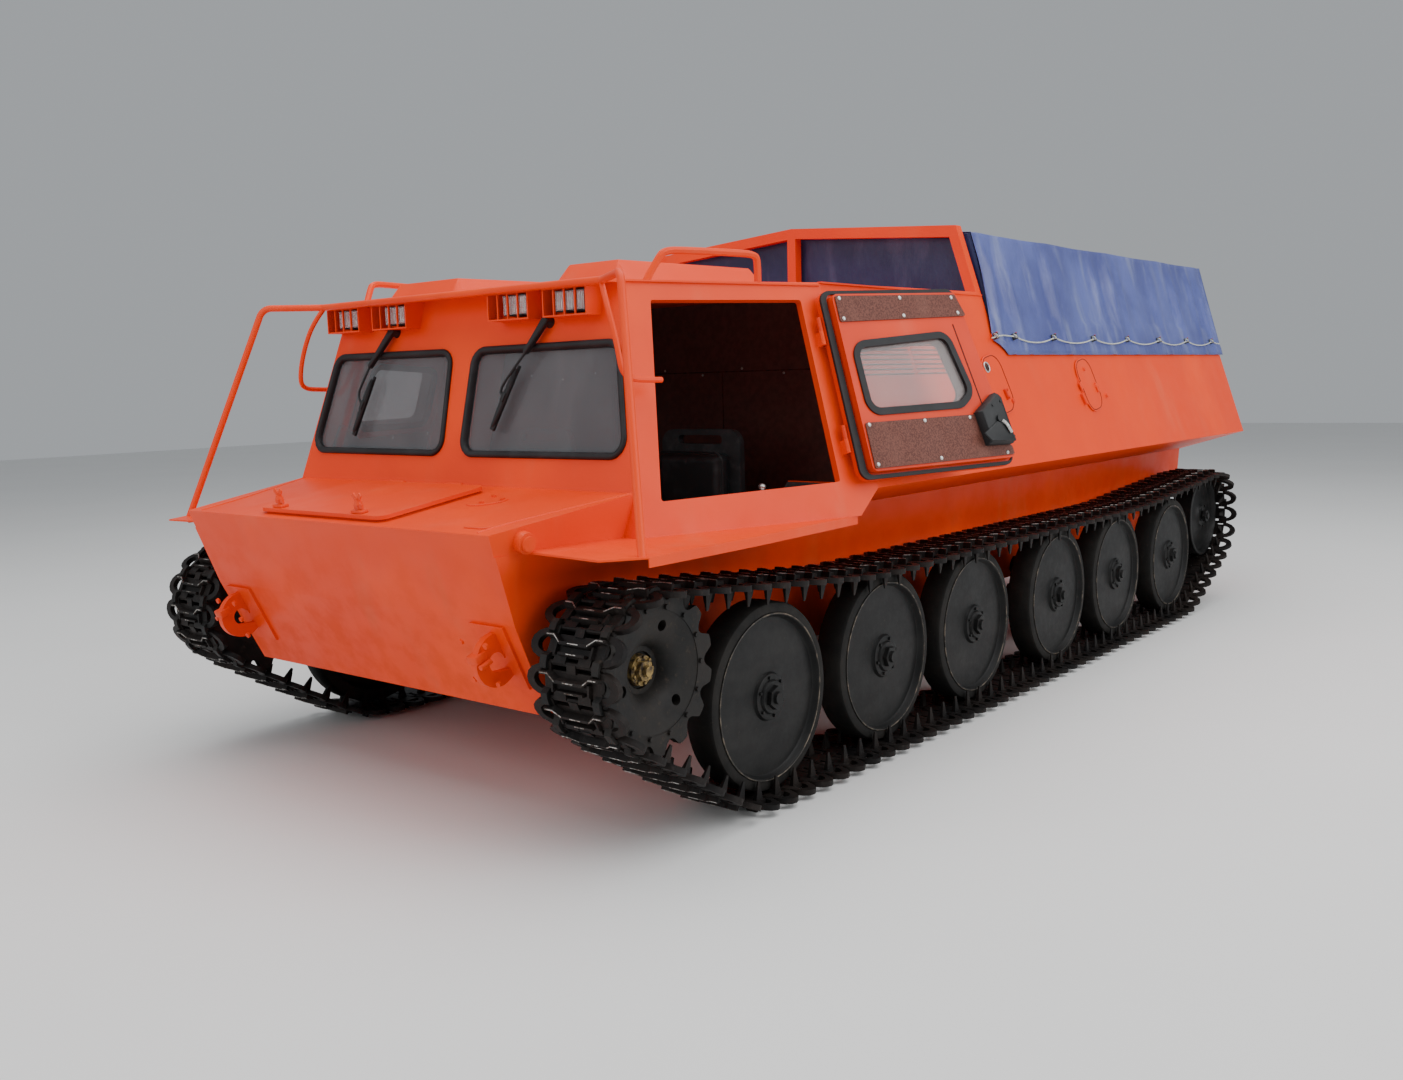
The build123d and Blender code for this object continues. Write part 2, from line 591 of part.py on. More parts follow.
# Bows that carry the canopy, standing on the load bed's side walls
bow_shares = [0.0161, 0.2581, 0.5064, 0.7546, 0.9780]
bow_stations = [superstructure_end + share * bed_length for share in bow_shares]
bow_width = 30
bow_inset = 16
bow_eave_gap = 10
bow_ridge_gap = 15
tarp_front_gap = 22
tarp_rear_reach = 42
tarp_front = superstructure_end + tarp_front_gap
tarp_rear = body_length + tarp_rear_reach
tarp_hem_z = 1576
tarp_top_z = 2150
tarp_ridge_z = 2243
tarp_hem_gap = 8.5
tarp_top_gap = 35.5
tarp_hem_half = side_x(tarp_hem_z) + tarp_hem_gap
tarp_top_half = side_x(tarp_top_z) + tarp_top_gap
tarp_sheet = 8
bows = Part()
for y in bow_stations:
    bows += hoop(y, y + bow_width, cargo_wall_top, tarp_top_z - bow_eave_gap, tarp_ridge_z - bow_ridge_gap, bow_width,
                 bow_inset)
nodes["tarp_bows"] = bows

# Canopy


def canopy_section(inset, bottom):
    slope = (tarp_hem_half - tarp_top_half) / (tarp_top_z - tarp_hem_z)
    low = tarp_hem_half + slope * (tarp_hem_z - bottom) - inset * 1.04
    return [(-low, bottom), (-tarp_top_half + inset, tarp_top_z - inset * 0.85), (0, tarp_ridge_z - inset),
            (tarp_top_half - inset, tarp_top_z - inset * 0.85), (low, bottom)]


tarp_plane = Plane(origin=(0, tarp_rear, 0), x_dir=(1, 0, 0), z_dir=(0, -1, 0))
tarp = extrude(make_face(Polyline(*canopy_section(0, tarp_hem_z), close=True)), tarp_rear - tarp_front)
tarp -= Pos(0, 0, tarp_sheet) * extrude(
    make_face(Polyline(*canopy_section(tarp_sheet, tarp_hem_z - 20), close=True)),
    tarp_rear - tarp_front - 2 * tarp_sheet)
tarp = tarp_plane.location * tarp
tarp -= behind(block(-1400, 1400, tarp_front - 10, tarp_front + 30, 1500, cargo_wall_top + 30))
for y in ring_stations[1:]:
    slot = on_side(y, ring_z).location * (Pos(0, 0, 20) * Box(ring_plate + 6, 2 * ring_half_height + 6, 60))
    tarp -= slot
    tarp -= across(slot)
nodes["tarp"] = tarp

# Lashing rope through the rings
rope_sag = 22
rope_end_reach = 10
rope_start_reach = 40
rope_bend = 0.02 * bed_length
rope_points = []
for index, y in enumerate(ring_stations):
    eye = on_side(y, ring_z).location * Pos(0, -rope_drop, ring_eye)
    place = eye.position
    if index:
        last = rope_points[-1]
        rope_points.append((place.X, (last[1] + y) / 2, place.Z - rope_sag))
    rope_points.append((place.X, y, place.Z))
rope_points.append((rope_points[-1][0], body_length - rope_end_reach, rope_points[-1][2] - 10))
rope_points.insert(0, (rope_points[0][0], ring_stations[0] - rope_start_reach, rope_points[0][2] - 4))
rope = tube(rope_points, rope_radius, rope_bend)
nodes["tarp_rope"] = rope + across(rope)

# Guard tube round the visor, with its posts on the fenders
guard_foot = (1296, 226, shelf_z)
guard_bend = (1021, 472, 1841)
guard_inner = (800, visor_reach - tube_radius, roof_front_z - 6)
guard_sink = 8
guard_line = [(guard_foot[0], guard_foot[1], guard_foot[2] - guard_sink), guard_bend, guard_inner]
guard_line += [(-x, y, z) for x, y, z in reversed(guard_line)]
guard_radius = 55
guard = tube(guard_line, tube_radius, guard_radius)
guard = beyond(guard, facing((0, 0, shelf_z), (0, 0, 1)))
nodes["guard_frame"] = guard

# Roof rails and the grab handles beside the windscreens
rail_points = [(806, 832, 1842), (836, 890, 1948), (946, 1288, 1948), (942, 1300, 1842)]
rail = tube(rail_points, tube_radius, 40)
rail = beyond(rail, roof)
grab_points = [(800, visor_reach - tube_radius, 1829), (920, 582, 1600), (957, 720, 1494)]
grab_radius = 10
grab_bend = 60
grab = tube(grab_points, grab_radius, grab_bend)
grab = beyond(grab, cab_side)
grab -= nodes["guard_frame"]
nodes["grab_rails"] = rail + across(rail) + grab + across(grab)

# Work lamps under the visor, each behind a barred cage
lamp_spans = [(-804, -587), (-501, -280), (199, 416), (490, 707)]
lamp_top = 1834
lamp_bottom = 1728
lamp_front = 640
lamp_wall = 5
lamp_unit_share = [0.62, 0.60, 0.60, 0.70]
lamp_unit_gap = 12
lamp_unit_drop = 16
lamps = Part()
cages = Part()
cage_bars = 5
cage_bar = 6
for (x0, x1), share in zip(lamp_spans, lamp_unit_share):
    box = behind(block(x0, x1, lamp_front, 760, lamp_bottom, 1900), roof.offset(-visor_plate))
    box = beyond(box, screen)
    room = behind(block(x0 + lamp_wall, x1 - lamp_wall, lamp_front - 1, 800, lamp_bottom + lamp_wall, 1900),
                  roof.offset(-visor_plate - lamp_wall))
    box -= beyond(room, screen.offset(lamp_wall))
    unit_x1 = x1 - lamp_unit_gap
    unit_x0 = unit_x1 - (x1 - x0) * share
    unit = block(unit_x0, unit_x1, lamp_front + 8, 760, lamp_bottom + lamp_unit_drop, lamp_top - lamp_unit_drop)
    lamps += beyond(unit, screen.offset(lamp_wall))
    cage = block(x0, x1, lamp_front - cage_bar, lamp_front, lamp_bottom, lamp_bottom + cage_bar)
    cage += block(x0, x1, lamp_front - cage_bar, lamp_front, lamp_top - 12, lamp_top - 6)
    for index in range(cage_bars):
        x = x0 + (x1 - x0 - cage_bar) * index / (cage_bars - 1)
        cage += block(x, x + cage_bar, lamp_front - cage_bar, lamp_front, lamp_bottom, lamp_top - 6)
    cages += box + cage
nodes["work_lamps"] = lamps
nodes["lamp_cages"] = cages

# Wipers: an arm and its blade over each pane
wiper_pivot_v = 488
wiper_list = [(445, 207, 100), (-445, -641, 70)]
wipers = Part()
for pivot_x, tip_x, tip_v in wiper_list:
    dx = tip_x - pivot_x
    dv = tip_v - wiper_pivot_v
    length = math.hypot(dx, dv)
    turn = math.degrees(math.atan2(dv, dx))
    base = screen_plane.location * Pos(pivot_x, wiper_pivot_v, 0)
    wipers += base * Pos(0, 0, 12) * Cylinder(12, 24)
    wipers += base * Rot(0, 0, turn) * Pos(length / 2, 0, 22) * Box(length, 8, 6)
    wipers += base * Rot(0, 0, turn) * Pos(length * 0.62, 0, 15.5) * Box(length * 0.74, 10, 8)
nodes["wipers"] = wipers

# Tow hooks on the nose and the towing jaw on the tail
hook_x = 750
hook_thickness = 26
hook_radius = 88
hook_centre_y = 116
hook_z = 628
hook_throat_radius = 32
hook_throat_y = 112
hook_mouth = 40
hook_base_top = 740
hook_base_bottom = 520
hook_base_inner = 100
hook_base_outer = 60
hook_base_plate = 10
hook_side = Plane(origin=(hook_x - hook_thickness / 2, 0, 0), x_dir=(0, 1, 0), z_dir=(1, 0, 0))
throat = Pos(hook_throat_y, hook_z - 6) * Circle(hook_throat_radius)
mouth = Pos(hook_throat_y + 60, hook_z - 6 + hook_mouth / 2 - hook_throat_radius) * Rectangle(120, hook_mouth)
hook = hook_side.location * extrude(Pos(hook_centre_y, hook_z) * Circle(hook_radius) - throat - mouth, hook_thickness)
hook = beyond(hook, nose_lower)
hook += beyond(behind(block(hook_x - hook_base_inner, hook_x + hook_base_outer, 60, 300, hook_base_bottom,
                            hook_base_top), nose_lower.offset(hook_base_plate)), nose_lower)
jaw_z = 800
jaw_reach = 110
jaw_gap = 46
jaw_plate = 24
jaw_pin = 18
jaw = block(-110, 110, body_length, body_length + 16, jaw_z - 90, jaw_z + 90)
for z0 in (jaw_z - jaw_gap / 2 - jaw_plate, jaw_z + jaw_gap / 2):
    ear = block(-50, 50, body_length + 16, body_length + jaw_reach - 50, z0, z0 + jaw_plate)
    ear += Pos(0, body_length + jaw_reach - 50, z0 + jaw_plate / 2) * Cylinder(50, jaw_plate)
    jaw += ear
jaw -= Pos(0, body_length + jaw_reach - 50, jaw_z) * Cylinder(jaw_pin, 200)
nodes["tow_hooks"] = hook + across(hook) + jaw

# Inside the cab
seat_centre = 480
seat_half = 205
seat_places = [seat_centre, -seat_centre]
seat_base_top = 790
seat_front_y = 1040
seat_back_y = 1500
seat_shell = 16
seat_top = 1296
seat_corner = 60
seat_grip_half = 115
seat_grip_low = 1236
seat_grip_high = 1272
seat_pad_top = 1224
seat_cushion_top = 910
seat_frames = Part()
seat_pads = Part()
for x in seat_places:
    seat_frames += block(x - 180, x + 180, 1080, 1440, cab_floor_z + floor_plate, seat_base_top)
    seat_frames += block(x - seat_half, x + seat_half, seat_front_y, seat_back_y, seat_base_top, seat_base_top + 20)
    back = Plane(origin=(x, seat_back_y + 2 * seat_shell, 0), x_dir=(1, 0, 0), z_dir=(0, -1, 0))
    shell = fillet(make_face(Polyline((-seat_half, seat_base_top), (seat_half, seat_base_top), (seat_half, seat_top),
                                      (-seat_half, seat_top), close=True)).vertices(), seat_corner)
    grip = fillet(make_face(Polyline((-seat_grip_half, seat_grip_low), (seat_grip_half, seat_grip_low),
                                     (seat_grip_half, seat_grip_high), (-seat_grip_half, seat_grip_high),
                                     close=True)).vertices(), 16)
    seat_frames += back.location * extrude(shell - grip, 2 * seat_shell)
    seat_pads += block(x - seat_half + 10, x + seat_half - 10, seat_front_y - 10, seat_back_y - 90,
                       seat_base_top + 20.5, seat_cushion_top)
    seat_pads += block(x - seat_half + 20, x + seat_half - 20, seat_back_y - 89.5, seat_back_y - 0.5,
                       seat_base_top + 20.5, seat_pad_top)
nodes["seat_frames"] = seat_frames
nodes["seat_pads"] = seat_pads
controls = behind(block(-820, 820, 560, 760, 1040, 1150), screen.offset(-cab_wall), *inward(both(cab_side), cab_wall))
lever_places = [380, 560]
for x in lever_places:
    controls += tube([(x, 900, cab_floor_z + floor_plate), (x, 900, 760), (x, 960, 1010)], 12, 60)
    controls += Pos(x, 962, 1020) * Sphere(22)
controls += block(300, 640, 860, 940, cab_floor_z + floor_plate, cab_floor_z + 60)
nodes["controls"] = controls
engine_half = 300
engine_top = 1280
engine_gap = 40
engine_rear_gap = 128
nodes["engine"] = block(-engine_half, engine_half, bulkhead_y + bulkhead_thickness + engine_gap,
                        superstructure_end - side_wall - engine_rear_gap, inner_floor_z, engine_top)

# Rear lamps
rear_lamps = Part()
for x in (-930, 930):
    rear_lamps += block(x - 60, x + 60, body_length, body_length + 38, 1120, 1180)
nodes["rear_lamps"] = rear_lamps


# Track path: a closed line of pins round the sprocket, the road wheels and the idler
def join(first, r_first, second, r_second):
    dx = second[0] - first[0]
    dz = second[1] - first[1]
    heading = math.atan2(dz, dx) - math.asin((r_second - r_first) / math.hypot(dx, dz))
    nx = -math.sin(heading)
    nz = math.cos(heading)
    start = (first[0] - r_first * nx, first[1] - r_first * nz)
    end = (second[0] - r_second * nx, second[1] - r_second * nz)
    return start, end, heading


def arc(centre, radius, from_heading, to_heading):
    while to_heading < from_heading:
        to_heading += 2 * math.pi
    count = max(2, int(math.degrees(to_heading - from_heading)))
    points = []
    for index in range(count + 1):
        heading = from_heading + (to_heading - from_heading) * index / count
        points.append((centre[0] + radius * math.sin(heading), centre[1] - radius * math.cos(heading)))
    return points


bend_radius = 368
bend_shift = 80
bottom_pin_z = pin_to_tip
first_wheel = (wheel_stations[0] - bend_shift, bottom_pin_z + bend_radius)
last_wheel = (wheel_stations[-1] + bend_shift, bottom_pin_z + bend_radius)
idler_centre = (idler_y, idler_z)
sprocket_centre = (sprocket_y, sprocket_z)
idler_pin_radius = 273
top_pin_z = wheel_z + wheel_radius + pin_to_inner
rear_sag = [(4900, 772), (4400, top_pin_z + 1)]
front_sag = [(1560, top_pin_z + 1), (1100, 778)]
up_rear = join(last_wheel, bend_radius, idler_centre, idler_pin_radius)
down_front = join(sprocket_centre, sprocket_pitch_radius, first_wheel, bend_radius)
off_idler = join(idler_centre, idler_pin_radius, rear_sag[0], 0)
on_sprocket = join(front_sag[1], 0, sprocket_centre, sprocket_pitch_radius)
track_path = arc(last_wheel, bend_radius, 0, up_rear[2])
track_path += arc(idler_centre, idler_pin_radius, up_rear[2], off_idler[2])
track_path += rear_sag + [(4201, top_pin_z), (1763, top_pin_z)] + front_sag
track_path += arc(sprocket_centre, sprocket_pitch_radius, on_sprocket[2], down_front[2])
track_path += arc(first_wheel, bend_radius, down_front[2], 0)


def pins_along(points, pitch):
    closed = points + [points[0]]
    runs = [math.dist(closed[i], closed[i + 1]) for i in range(len(points))]
    count = round(sum(runs) / pitch)
    step = sum(runs) / count
    pins = []
    at = 0.0
    index = 0
    for number in range(count):
        want = number * step
        while at + runs[index] < want:
            at += runs[index]
            index += 1
        share = (want - at) / runs[index] if runs[index] else 0
        a = closed[index]
        b = closed[index + 1]
        pins.append((a[0] + (b[0] - a[0]) * share, a[1] + (b[1] - a[1]) * share))
    return pins


pins = pins_along(track_path, link_pitch)


def loop_outlines(pin_list):
    outer_loop = []
    inner_loop = []
    count = len(pin_list)
    for index in range(count):
        before = pin_list[index - 1]
        here = pin_list[index]
        after = pin_list[(index + 1) % count]
        length = math.dist(here, after)
        dx = (after[0] - here[0]) / length
        dz = (after[1] - here[1]) / length
        for along, out in ((valley_width / 2, pin_to_valley), (valley_width / 2 + grouser_flank, pin_to_tip),
                           (length - valley_width / 2 - grouser_flank, pin_to_tip),
                           (length - valley_width / 2, pin_to_valley)):
            outer_loop.append((here[0] + dx * along + dz * out, here[1] + dz * along - dx * out))
        last = math.dist(before, here)
        bx = (here[0] - before[0]) / last
        bz = (here[1] - before[1]) / last
        turn = math.atan2(bx * dz - bz * dx, bx * dx + bz * dz)
        if abs(turn) > math.radians(0.2):
            mx = bx + dx
            mz = bz + dz
            size = math.hypot(mx, mz)
            reach = pin_to_inner / math.cos(turn / 2)
            inner_loop.append((here[0] - mz / size * reach, here[1] + mx / size * reach))
    return outer_loop, inner_loop


outer_loop, inner_loop = loop_outlines(pins)
track_x0 = track_centre_x - track_width / 2
track_x1 = track_centre_x + track_width / 2
track = profile(outer_loop, track_x0, track_x1) - profile(inner_loop, track_x0 - 1, track_x1 + 1)
groove_width = tooth_ring_thickness + 2 * groove_clearance
for x in tooth_ring_x:
    groove = prism(sprocket_y, sprocket_z, tooth_tip_radius + groove_clearance, 28, x - groove_width / 2,
                   x + groove_width / 2)
    track -= groove
nodes["track_left"] = track
nodes["track_right"] = across(track)

# Sprockets: two toothed rings on a drum that carries the links, on a final drive at the hull
tooth_points = []
tooth_turn = 2 * math.pi / sprocket_teeth
for index in range(sprocket_teeth):
    middle = index * tooth_turn + tooth_turn / 2
    for radius, share in ((tooth_root_radius, -0.30), (tooth_tip_radius, -0.13), (tooth_tip_radius, 0.13),
                          (tooth_root_radius, 0.30)):
        angle = middle + share * tooth_turn
        tooth_points.append((sprocket_y + radius * math.cos(angle), sprocket_z + radius * math.sin(angle)))
drum_radius = math.sqrt(sprocket_pitch_radius ** 2 - (link_pitch / 2) ** 2) - pin_to_inner - 2
sprocket = Part()
for x in tooth_ring_x:
    sprocket += profile(tooth_points, x - tooth_ring_thickness / 2, x + tooth_ring_thickness / 2)
drum_flat = drum_radius * math.cos(math.pi / 28)
sprocket += prism(sprocket_y, sprocket_z, drum_flat, 28, tooth_ring_x[0], tooth_ring_x[1] - 10)
sprocket -= prism(sprocket_y, sprocket_z, 170, 20, tooth_ring_x[1] - 9, tooth_ring_x[1] + 30)
sprocket += prism(sprocket_y, sprocket_z, 62, 12, tooth_ring_x[1] - 20, tooth_ring_x[1] + 22)
sprocket += prism(sprocket_y, sprocket_z, 44, 6, tooth_ring_x[1] + 20, tooth_ring_x[1] + 52)
sprocket += beyond(prism(sprocket_y, sprocket_z, 120, 12, 800, tooth_ring_x[0]), hull_wall)
nodes["sprockets"] = sprocket + across(sprocket)

# Road wheels with their tyres, the idlers, and the arms that carry them
wheels = Part()
tyres = Part()
arms = Part()
arm_back = 240
arm_rise = 95
hub_sides = 10
for y in wheel_stations:
    disc = prism(y, wheel_z, tyre_inner_radius, wheel_sides, wheel_inner_x, wheel_outer_x)
    ring = prism(y, wheel_z, wheel_radius, wheel_sides, wheel_inner_x, wheel_outer_x) - disc
    tyres += ring
    disc -= prism(y, wheel_z, rim_lip_radius, wheel_sides, wheel_outer_x - rim_recess, wheel_outer_x + 1)
    disc += prism(y, wheel_z, hub_radius, hub_sides, wheel_outer_x - rim_recess - 2,
                  wheel_outer_x - rim_recess + hub_proud)
    wheels += disc
    pivot_y = y + arm_back if y < 5000 else y - arm_back
    arm = prism(pivot_y, wheel_z + arm_rise, 48, 8, 820, 980)
    arm += prism(y, wheel_z, 36, 8, 930, wheel_inner_x)
    arm += profile([(y, wheel_z - 30), (y, wheel_z + 30), (pivot_y, wheel_z + arm_rise + 40),
                    (pivot_y, wheel_z + arm_rise - 40)], 930, 975)
    arms += beyond(arm, hull_wall)
idler_sides = 24
idler = prism(idler_y, idler_z, idler_radius * math.cos(math.pi / idler_sides), idler_sides, 1060, 1180)
idler -= prism(idler_y, idler_z, 212, idler_sides, 1140, 1181)
idler += prism(idler_y, idler_z, 55, hub_sides, 1138, 1170)
crank = prism(idler_y, idler_z, 40, 8, 930, 1060)
crank += prism(idler_y - 130, idler_z + 60, 55, 8, 820, 975)
crank += profile([(idler_y, idler_z - 34), (idler_y, idler_z + 34), (idler_y - 130, idler_z + 105),
                  (idler_y - 130, idler_z + 15)], 930, 975)
arms += beyond(crank, hull_wall)
nodes["wheel_tyres"] = tyres + across(tyres)
nodes["road_wheels"] = wheels + across(wheels)
nodes["idlers"] = idler + across(idler)
nodes["swing_arms"] = arms + across(arms)
nodes["bonnet_deck"] = bonnet

# The origin is the middle of the whole box at ground level
low_x = min(solid.bounding_box().min.X for solid in nodes.values())
high_x = max(solid.bounding_box().max.X for solid in nodes.values())
low_y = min(solid.bounding_box().min.Y for solid in nodes.values())
high_y = max(solid.bounding_box().max.Y for solid in nodes.values())
low_z = min(solid.bounding_box().min.Z for solid in nodes.values())
shift = Vector(-(low_x + high_x) / 2, -(low_y + high_y) / 2, -low_z)

os.makedirs("parts", exist_ok=True)
for name, solid in nodes.items():
    export_step(Pos(shift.X, shift.Y, shift.Z) * solid, "parts/" + name + ".step")
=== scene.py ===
import math

import bmesh
import bpy
from mathutils import Matrix, Vector, noise


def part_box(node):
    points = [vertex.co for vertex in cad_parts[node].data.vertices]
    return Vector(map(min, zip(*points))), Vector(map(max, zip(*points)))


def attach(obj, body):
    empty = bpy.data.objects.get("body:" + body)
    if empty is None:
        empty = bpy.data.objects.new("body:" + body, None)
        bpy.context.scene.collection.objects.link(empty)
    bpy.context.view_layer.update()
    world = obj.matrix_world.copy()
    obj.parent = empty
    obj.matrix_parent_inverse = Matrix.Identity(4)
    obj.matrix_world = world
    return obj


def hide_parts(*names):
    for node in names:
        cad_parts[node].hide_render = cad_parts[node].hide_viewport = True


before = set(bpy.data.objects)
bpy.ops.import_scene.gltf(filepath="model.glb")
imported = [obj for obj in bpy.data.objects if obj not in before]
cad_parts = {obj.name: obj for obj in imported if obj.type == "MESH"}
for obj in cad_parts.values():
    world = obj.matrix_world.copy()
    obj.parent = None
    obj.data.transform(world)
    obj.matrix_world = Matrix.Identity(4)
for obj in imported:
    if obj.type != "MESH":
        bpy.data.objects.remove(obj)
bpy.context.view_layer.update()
scene = bpy.context.scene

# The vehicle's own lengths are in millimetres: x to its left, s back from the nose, z up from the ground.
CENTRE_X = (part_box("track_left")[1].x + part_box("track_right")[0].x) / 2
BULKHEAD_BACK = 1.850
NOSE_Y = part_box("bulkhead")[0].y - BULKHEAD_BACK

# The side walls lean in by this much per length upwards, from an edge at this place.
SIDE_LEAN = 0.329
EDGE_X = 1290
EDGE_Z = 1076


def at(x, s, z):
    return Vector((CENTRE_X + x / 1000, NOSE_Y + s / 1000, z / 1000))


def place(bm):
    """Turns millimetres on the vehicle into metres in the row's frame."""
    for vert in bm.verts:
        vert.co = at(*vert.co)


# Shader maths
class Wire:
    """A socket's value, which can be used in sums."""

    def __init__(self, finish, socket):
        self.finish = finish
        self.socket = socket

    def sum(self, operation, a, b):
        return self.finish.node("ShaderNodeMath", {"operation": operation}, {0: a, 1: b})

    def __add__(self, other):
        return self.sum("ADD", self, other)

    __radd__ = __add__

    def __sub__(self, other):
        return self.sum("SUBTRACT", self, other)

    def __rsub__(self, other):
        return self.sum("SUBTRACT", other, self)

    def __mul__(self, other):
        return self.sum("MULTIPLY", self, other)

    __rmul__ = __mul__

    def above(self, low, high):
        """0 under low and 1 over high, with a soft step between."""
        return self.finish.node("ShaderNodeMapRange", {"interpolation_type": "SMOOTHSTEP"},
                                {"Value": self, "From Min": low, "From Max": high})


class Finish:
    """A material on a Principled shader, with its patterns on Object coordinates."""

    def __init__(self, name, colour, roughness=0.5, metallic=0.0, **sockets):
        self.material = bpy.data.materials.new(name)
        self.material.use_nodes = True
        self.tree = self.material.node_tree
        self.tree.nodes.clear()
        self.shader = self.tree.nodes.new("ShaderNodeBsdfPrincipled")
        surface = self.tree.nodes.new("ShaderNodeOutputMaterial").inputs[0]
        self.tree.links.new(self.shader.outputs[0], surface)
        self.coords = self.tree.nodes.new("ShaderNodeTexCoord").outputs["Object"]
        self.set("Base Color", (*colour, 1))
        self.set("Roughness", roughness)
        self.set("Metallic", metallic)
        for key, value in sockets.items():
            self.set(key.replace("_", " "), value)

    def node(self, kind, settings, inputs, output=0):
        made = self.tree.nodes.new(kind)
        for key, value in settings.items():
            setattr(made, key, value)
        for key, value in inputs.items():
            self.join(value, made.inputs[key])
        return Wire(self, made.outputs[output])

    def join(self, value, socket):
        if isinstance(value, Wire):
            self.tree.links.new(value.socket, socket)
        else:
            socket.default_value = value

    def set(self, name, value):
        self.join(value, self.shader.inputs[name])

    def noise(self, scale, detail=4, roughness=0.55, stretch=(1, 1, 1), shift=(0, 0, 0)):
        where = self.node("ShaderNodeMapping", {}, {"Vector": Wire(self, self.coords), "Location": shift,
                                                    "Scale": stretch})
        return self.node("ShaderNodeTexNoise", {}, {"Vector": where, "Scale": scale, "Detail": detail,
                                                    "Roughness": roughness})

    def cells(self, scale):
        return self.node("ShaderNodeTexVoronoi", {}, {"Vector": Wire(self, self.coords), "Scale": scale})

    def waves(self, scale, direction="X", distortion=0.0):
        return self.node("ShaderNodeTexWave", {"bands_direction": direction},
                         {"Vector": Wire(self, self.coords), "Scale": scale, "Distortion": distortion}, 1)

    def height(self):
        """Height above the ground in metres."""
        return self.node("ShaderNodeSeparateXYZ", {}, {0: Wire(self, self.coords)}, 2)

    def blend(self, share, low, high):
        node = self.tree.nodes.new("ShaderNodeMix")
        node.data_type = "RGBA"
        self.join(share, node.inputs["Factor"])
        for value, name in ((low, 6), (high, 7)):
            self.join(value if isinstance(value, Wire) else (*value, 1), node.inputs[name])
        return Wire(self, node.outputs[2])

    def bump(self, *layers):
        """Each layer is a height, its depth in metres and its strength."""
        normal = None
        for height, depth, strength in layers:
            inputs = {"Height": height, "Distance": depth, "Strength": strength}
            if normal:
                inputs["Normal"] = normal
            normal = self.node("ShaderNodeBump", {}, inputs)
        self.set("Normal", normal)


ORANGE = (0.92, 0.064, 0.0)
ORANGE_DEEP = (0.74, 0.034, 0.0)
MUD = (0.10, 0.070, 0.050)
DUST = (0.62, 0.22, 0.12)


def orange_enamel(name, bright, deep, ringed=False):
    """Enamel with dust, mud and flecks. The lashing rings that stand out of a ringed wall are bare steel."""
    f = Finish(name, bright, 0.42, Specular_IOR_Level=0.26)
    broad = f.noise(1.3, 3)
    cloud = f.noise(9, 5, shift=(3, 1, 2))
    streaks = f.noise(5, 6, 0.6, stretch=(1, 1, 0.12), shift=(0, 4, 0))
    peel = f.noise(230, 2)
    specks = f.noise(60, 4, 0.7, shift=(5, 5, 5))
    tint = f.blend(broad.above(0.35, 0.7), deep, bright)
    tint = f.blend(0.35 + 0.65 * broad.above(0.3, 0.6), bright, tint)
    tint = f.blend(streaks.above(0.52, 0.78) * 0.16, tint, DUST)
    low = (1 - f.height().above(0.45, 1.15)) * cloud.above(0.38, 0.7)
    tint = f.blend(low * 0.14, tint, MUD)
    tint = f.blend(specks.above(0.70, 0.76) * 0.45, tint, MUD)
    if ringed:
        beside = f.node("ShaderNodeSeparateXYZ", {}, {0: Wire(f, f.coords)}) - CENTRE_X
        beside = f.node("ShaderNodeMath", {"operation": "ABSOLUTE"}, {0: beside})
        proud = beside + SIDE_LEAN * (f.height() - EDGE_Z / 1000) - EDGE_X / 1000
        ring = proud.above(0.008, 0.010) * f.height().above(1.634, 1.636)
        ring = ring * (1 - f.height().above(1.678, 1.680))
        tint = f.blend(ring, tint, (0.10, 0.105, 0.10))
        f.set("Metallic", ring * 0.7)
    f.set("Base Color", tint)
    f.set("Roughness", 0.33 + 0.20 * cloud + low * 0.25)
    f.bump((broad, 0.02, 0.12), (cloud, 0.002, 0.14), (peel, 0.0004, 0.3))
    return f.material


def tarpaulin(name, shade):
    """Coated blue cloth, with painted highlights streaked along its folds and lighter worn spots. A low
    shade darkens all its colours as painted shade, for the less lit ends.
    """
    f = Finish(name, (0.030 * shade, 0.045 * shade, 0.26 * shade), 0.34,
               Specular_IOR_Level=0.75 * min(1, shade))
    cloud = f.noise(2.5, 5)
    wear = f.noise(14, 6, 0.65, shift=(2, 0, 1))
    # The lighter blue this streaky mask gives along the folds is painted highlight of the cloth's sheen.
    rubbed = f.noise(7, 5, 0.6, stretch=(1, 1.4, 0.22), shift=(1, 0, 2))
    tint = f.blend(cloud.above(0.35, 0.7), (0.040 * shade, 0.052 * shade, 0.20 * shade),
                   (0.074 * shade, 0.096 * shade, 0.30 * shade))
    tint = f.blend(rubbed.above(0.50, 0.72) * min(1, shade) * 0.55, tint, (0.20, 0.23, 0.40))
    tint = f.blend(wear.above(0.55, 0.8) * 0.3, tint, (0.15 * shade, 0.18 * shade, 0.36 * shade))
    f.set("Base Color", tint)
    f.set("Roughness", 0.26 + 0.20 * wear)
    weave = f.waves(420, "Y") + f.waves(420, "Z")
    creases = f.noise(26, 3, 0.5, stretch=(1, 1.6, 0.5))
    f.bump((creases, 0.006, 0.42), (weave, 0.0003, 0.22))
    return f.material


def lashing_cord():
    f = Finish("pale braided cord", (0.58, 0.60, 0.52), 0.8, Sheen_Weight=0.2)
    braid = f.waves(170, "DIAGONAL", 0.6)
    grime = f.noise(24, 4)
    tint = f.blend(braid.above(0.2, 0.8), (0.40, 0.42, 0.36), (0.66, 0.68, 0.60))
    f.set("Base Color", f.blend(grime.above(0.5, 0.8) * 0.5, tint, MUD))
    f.bump((braid, 0.0012, 0.6))
    return f.material


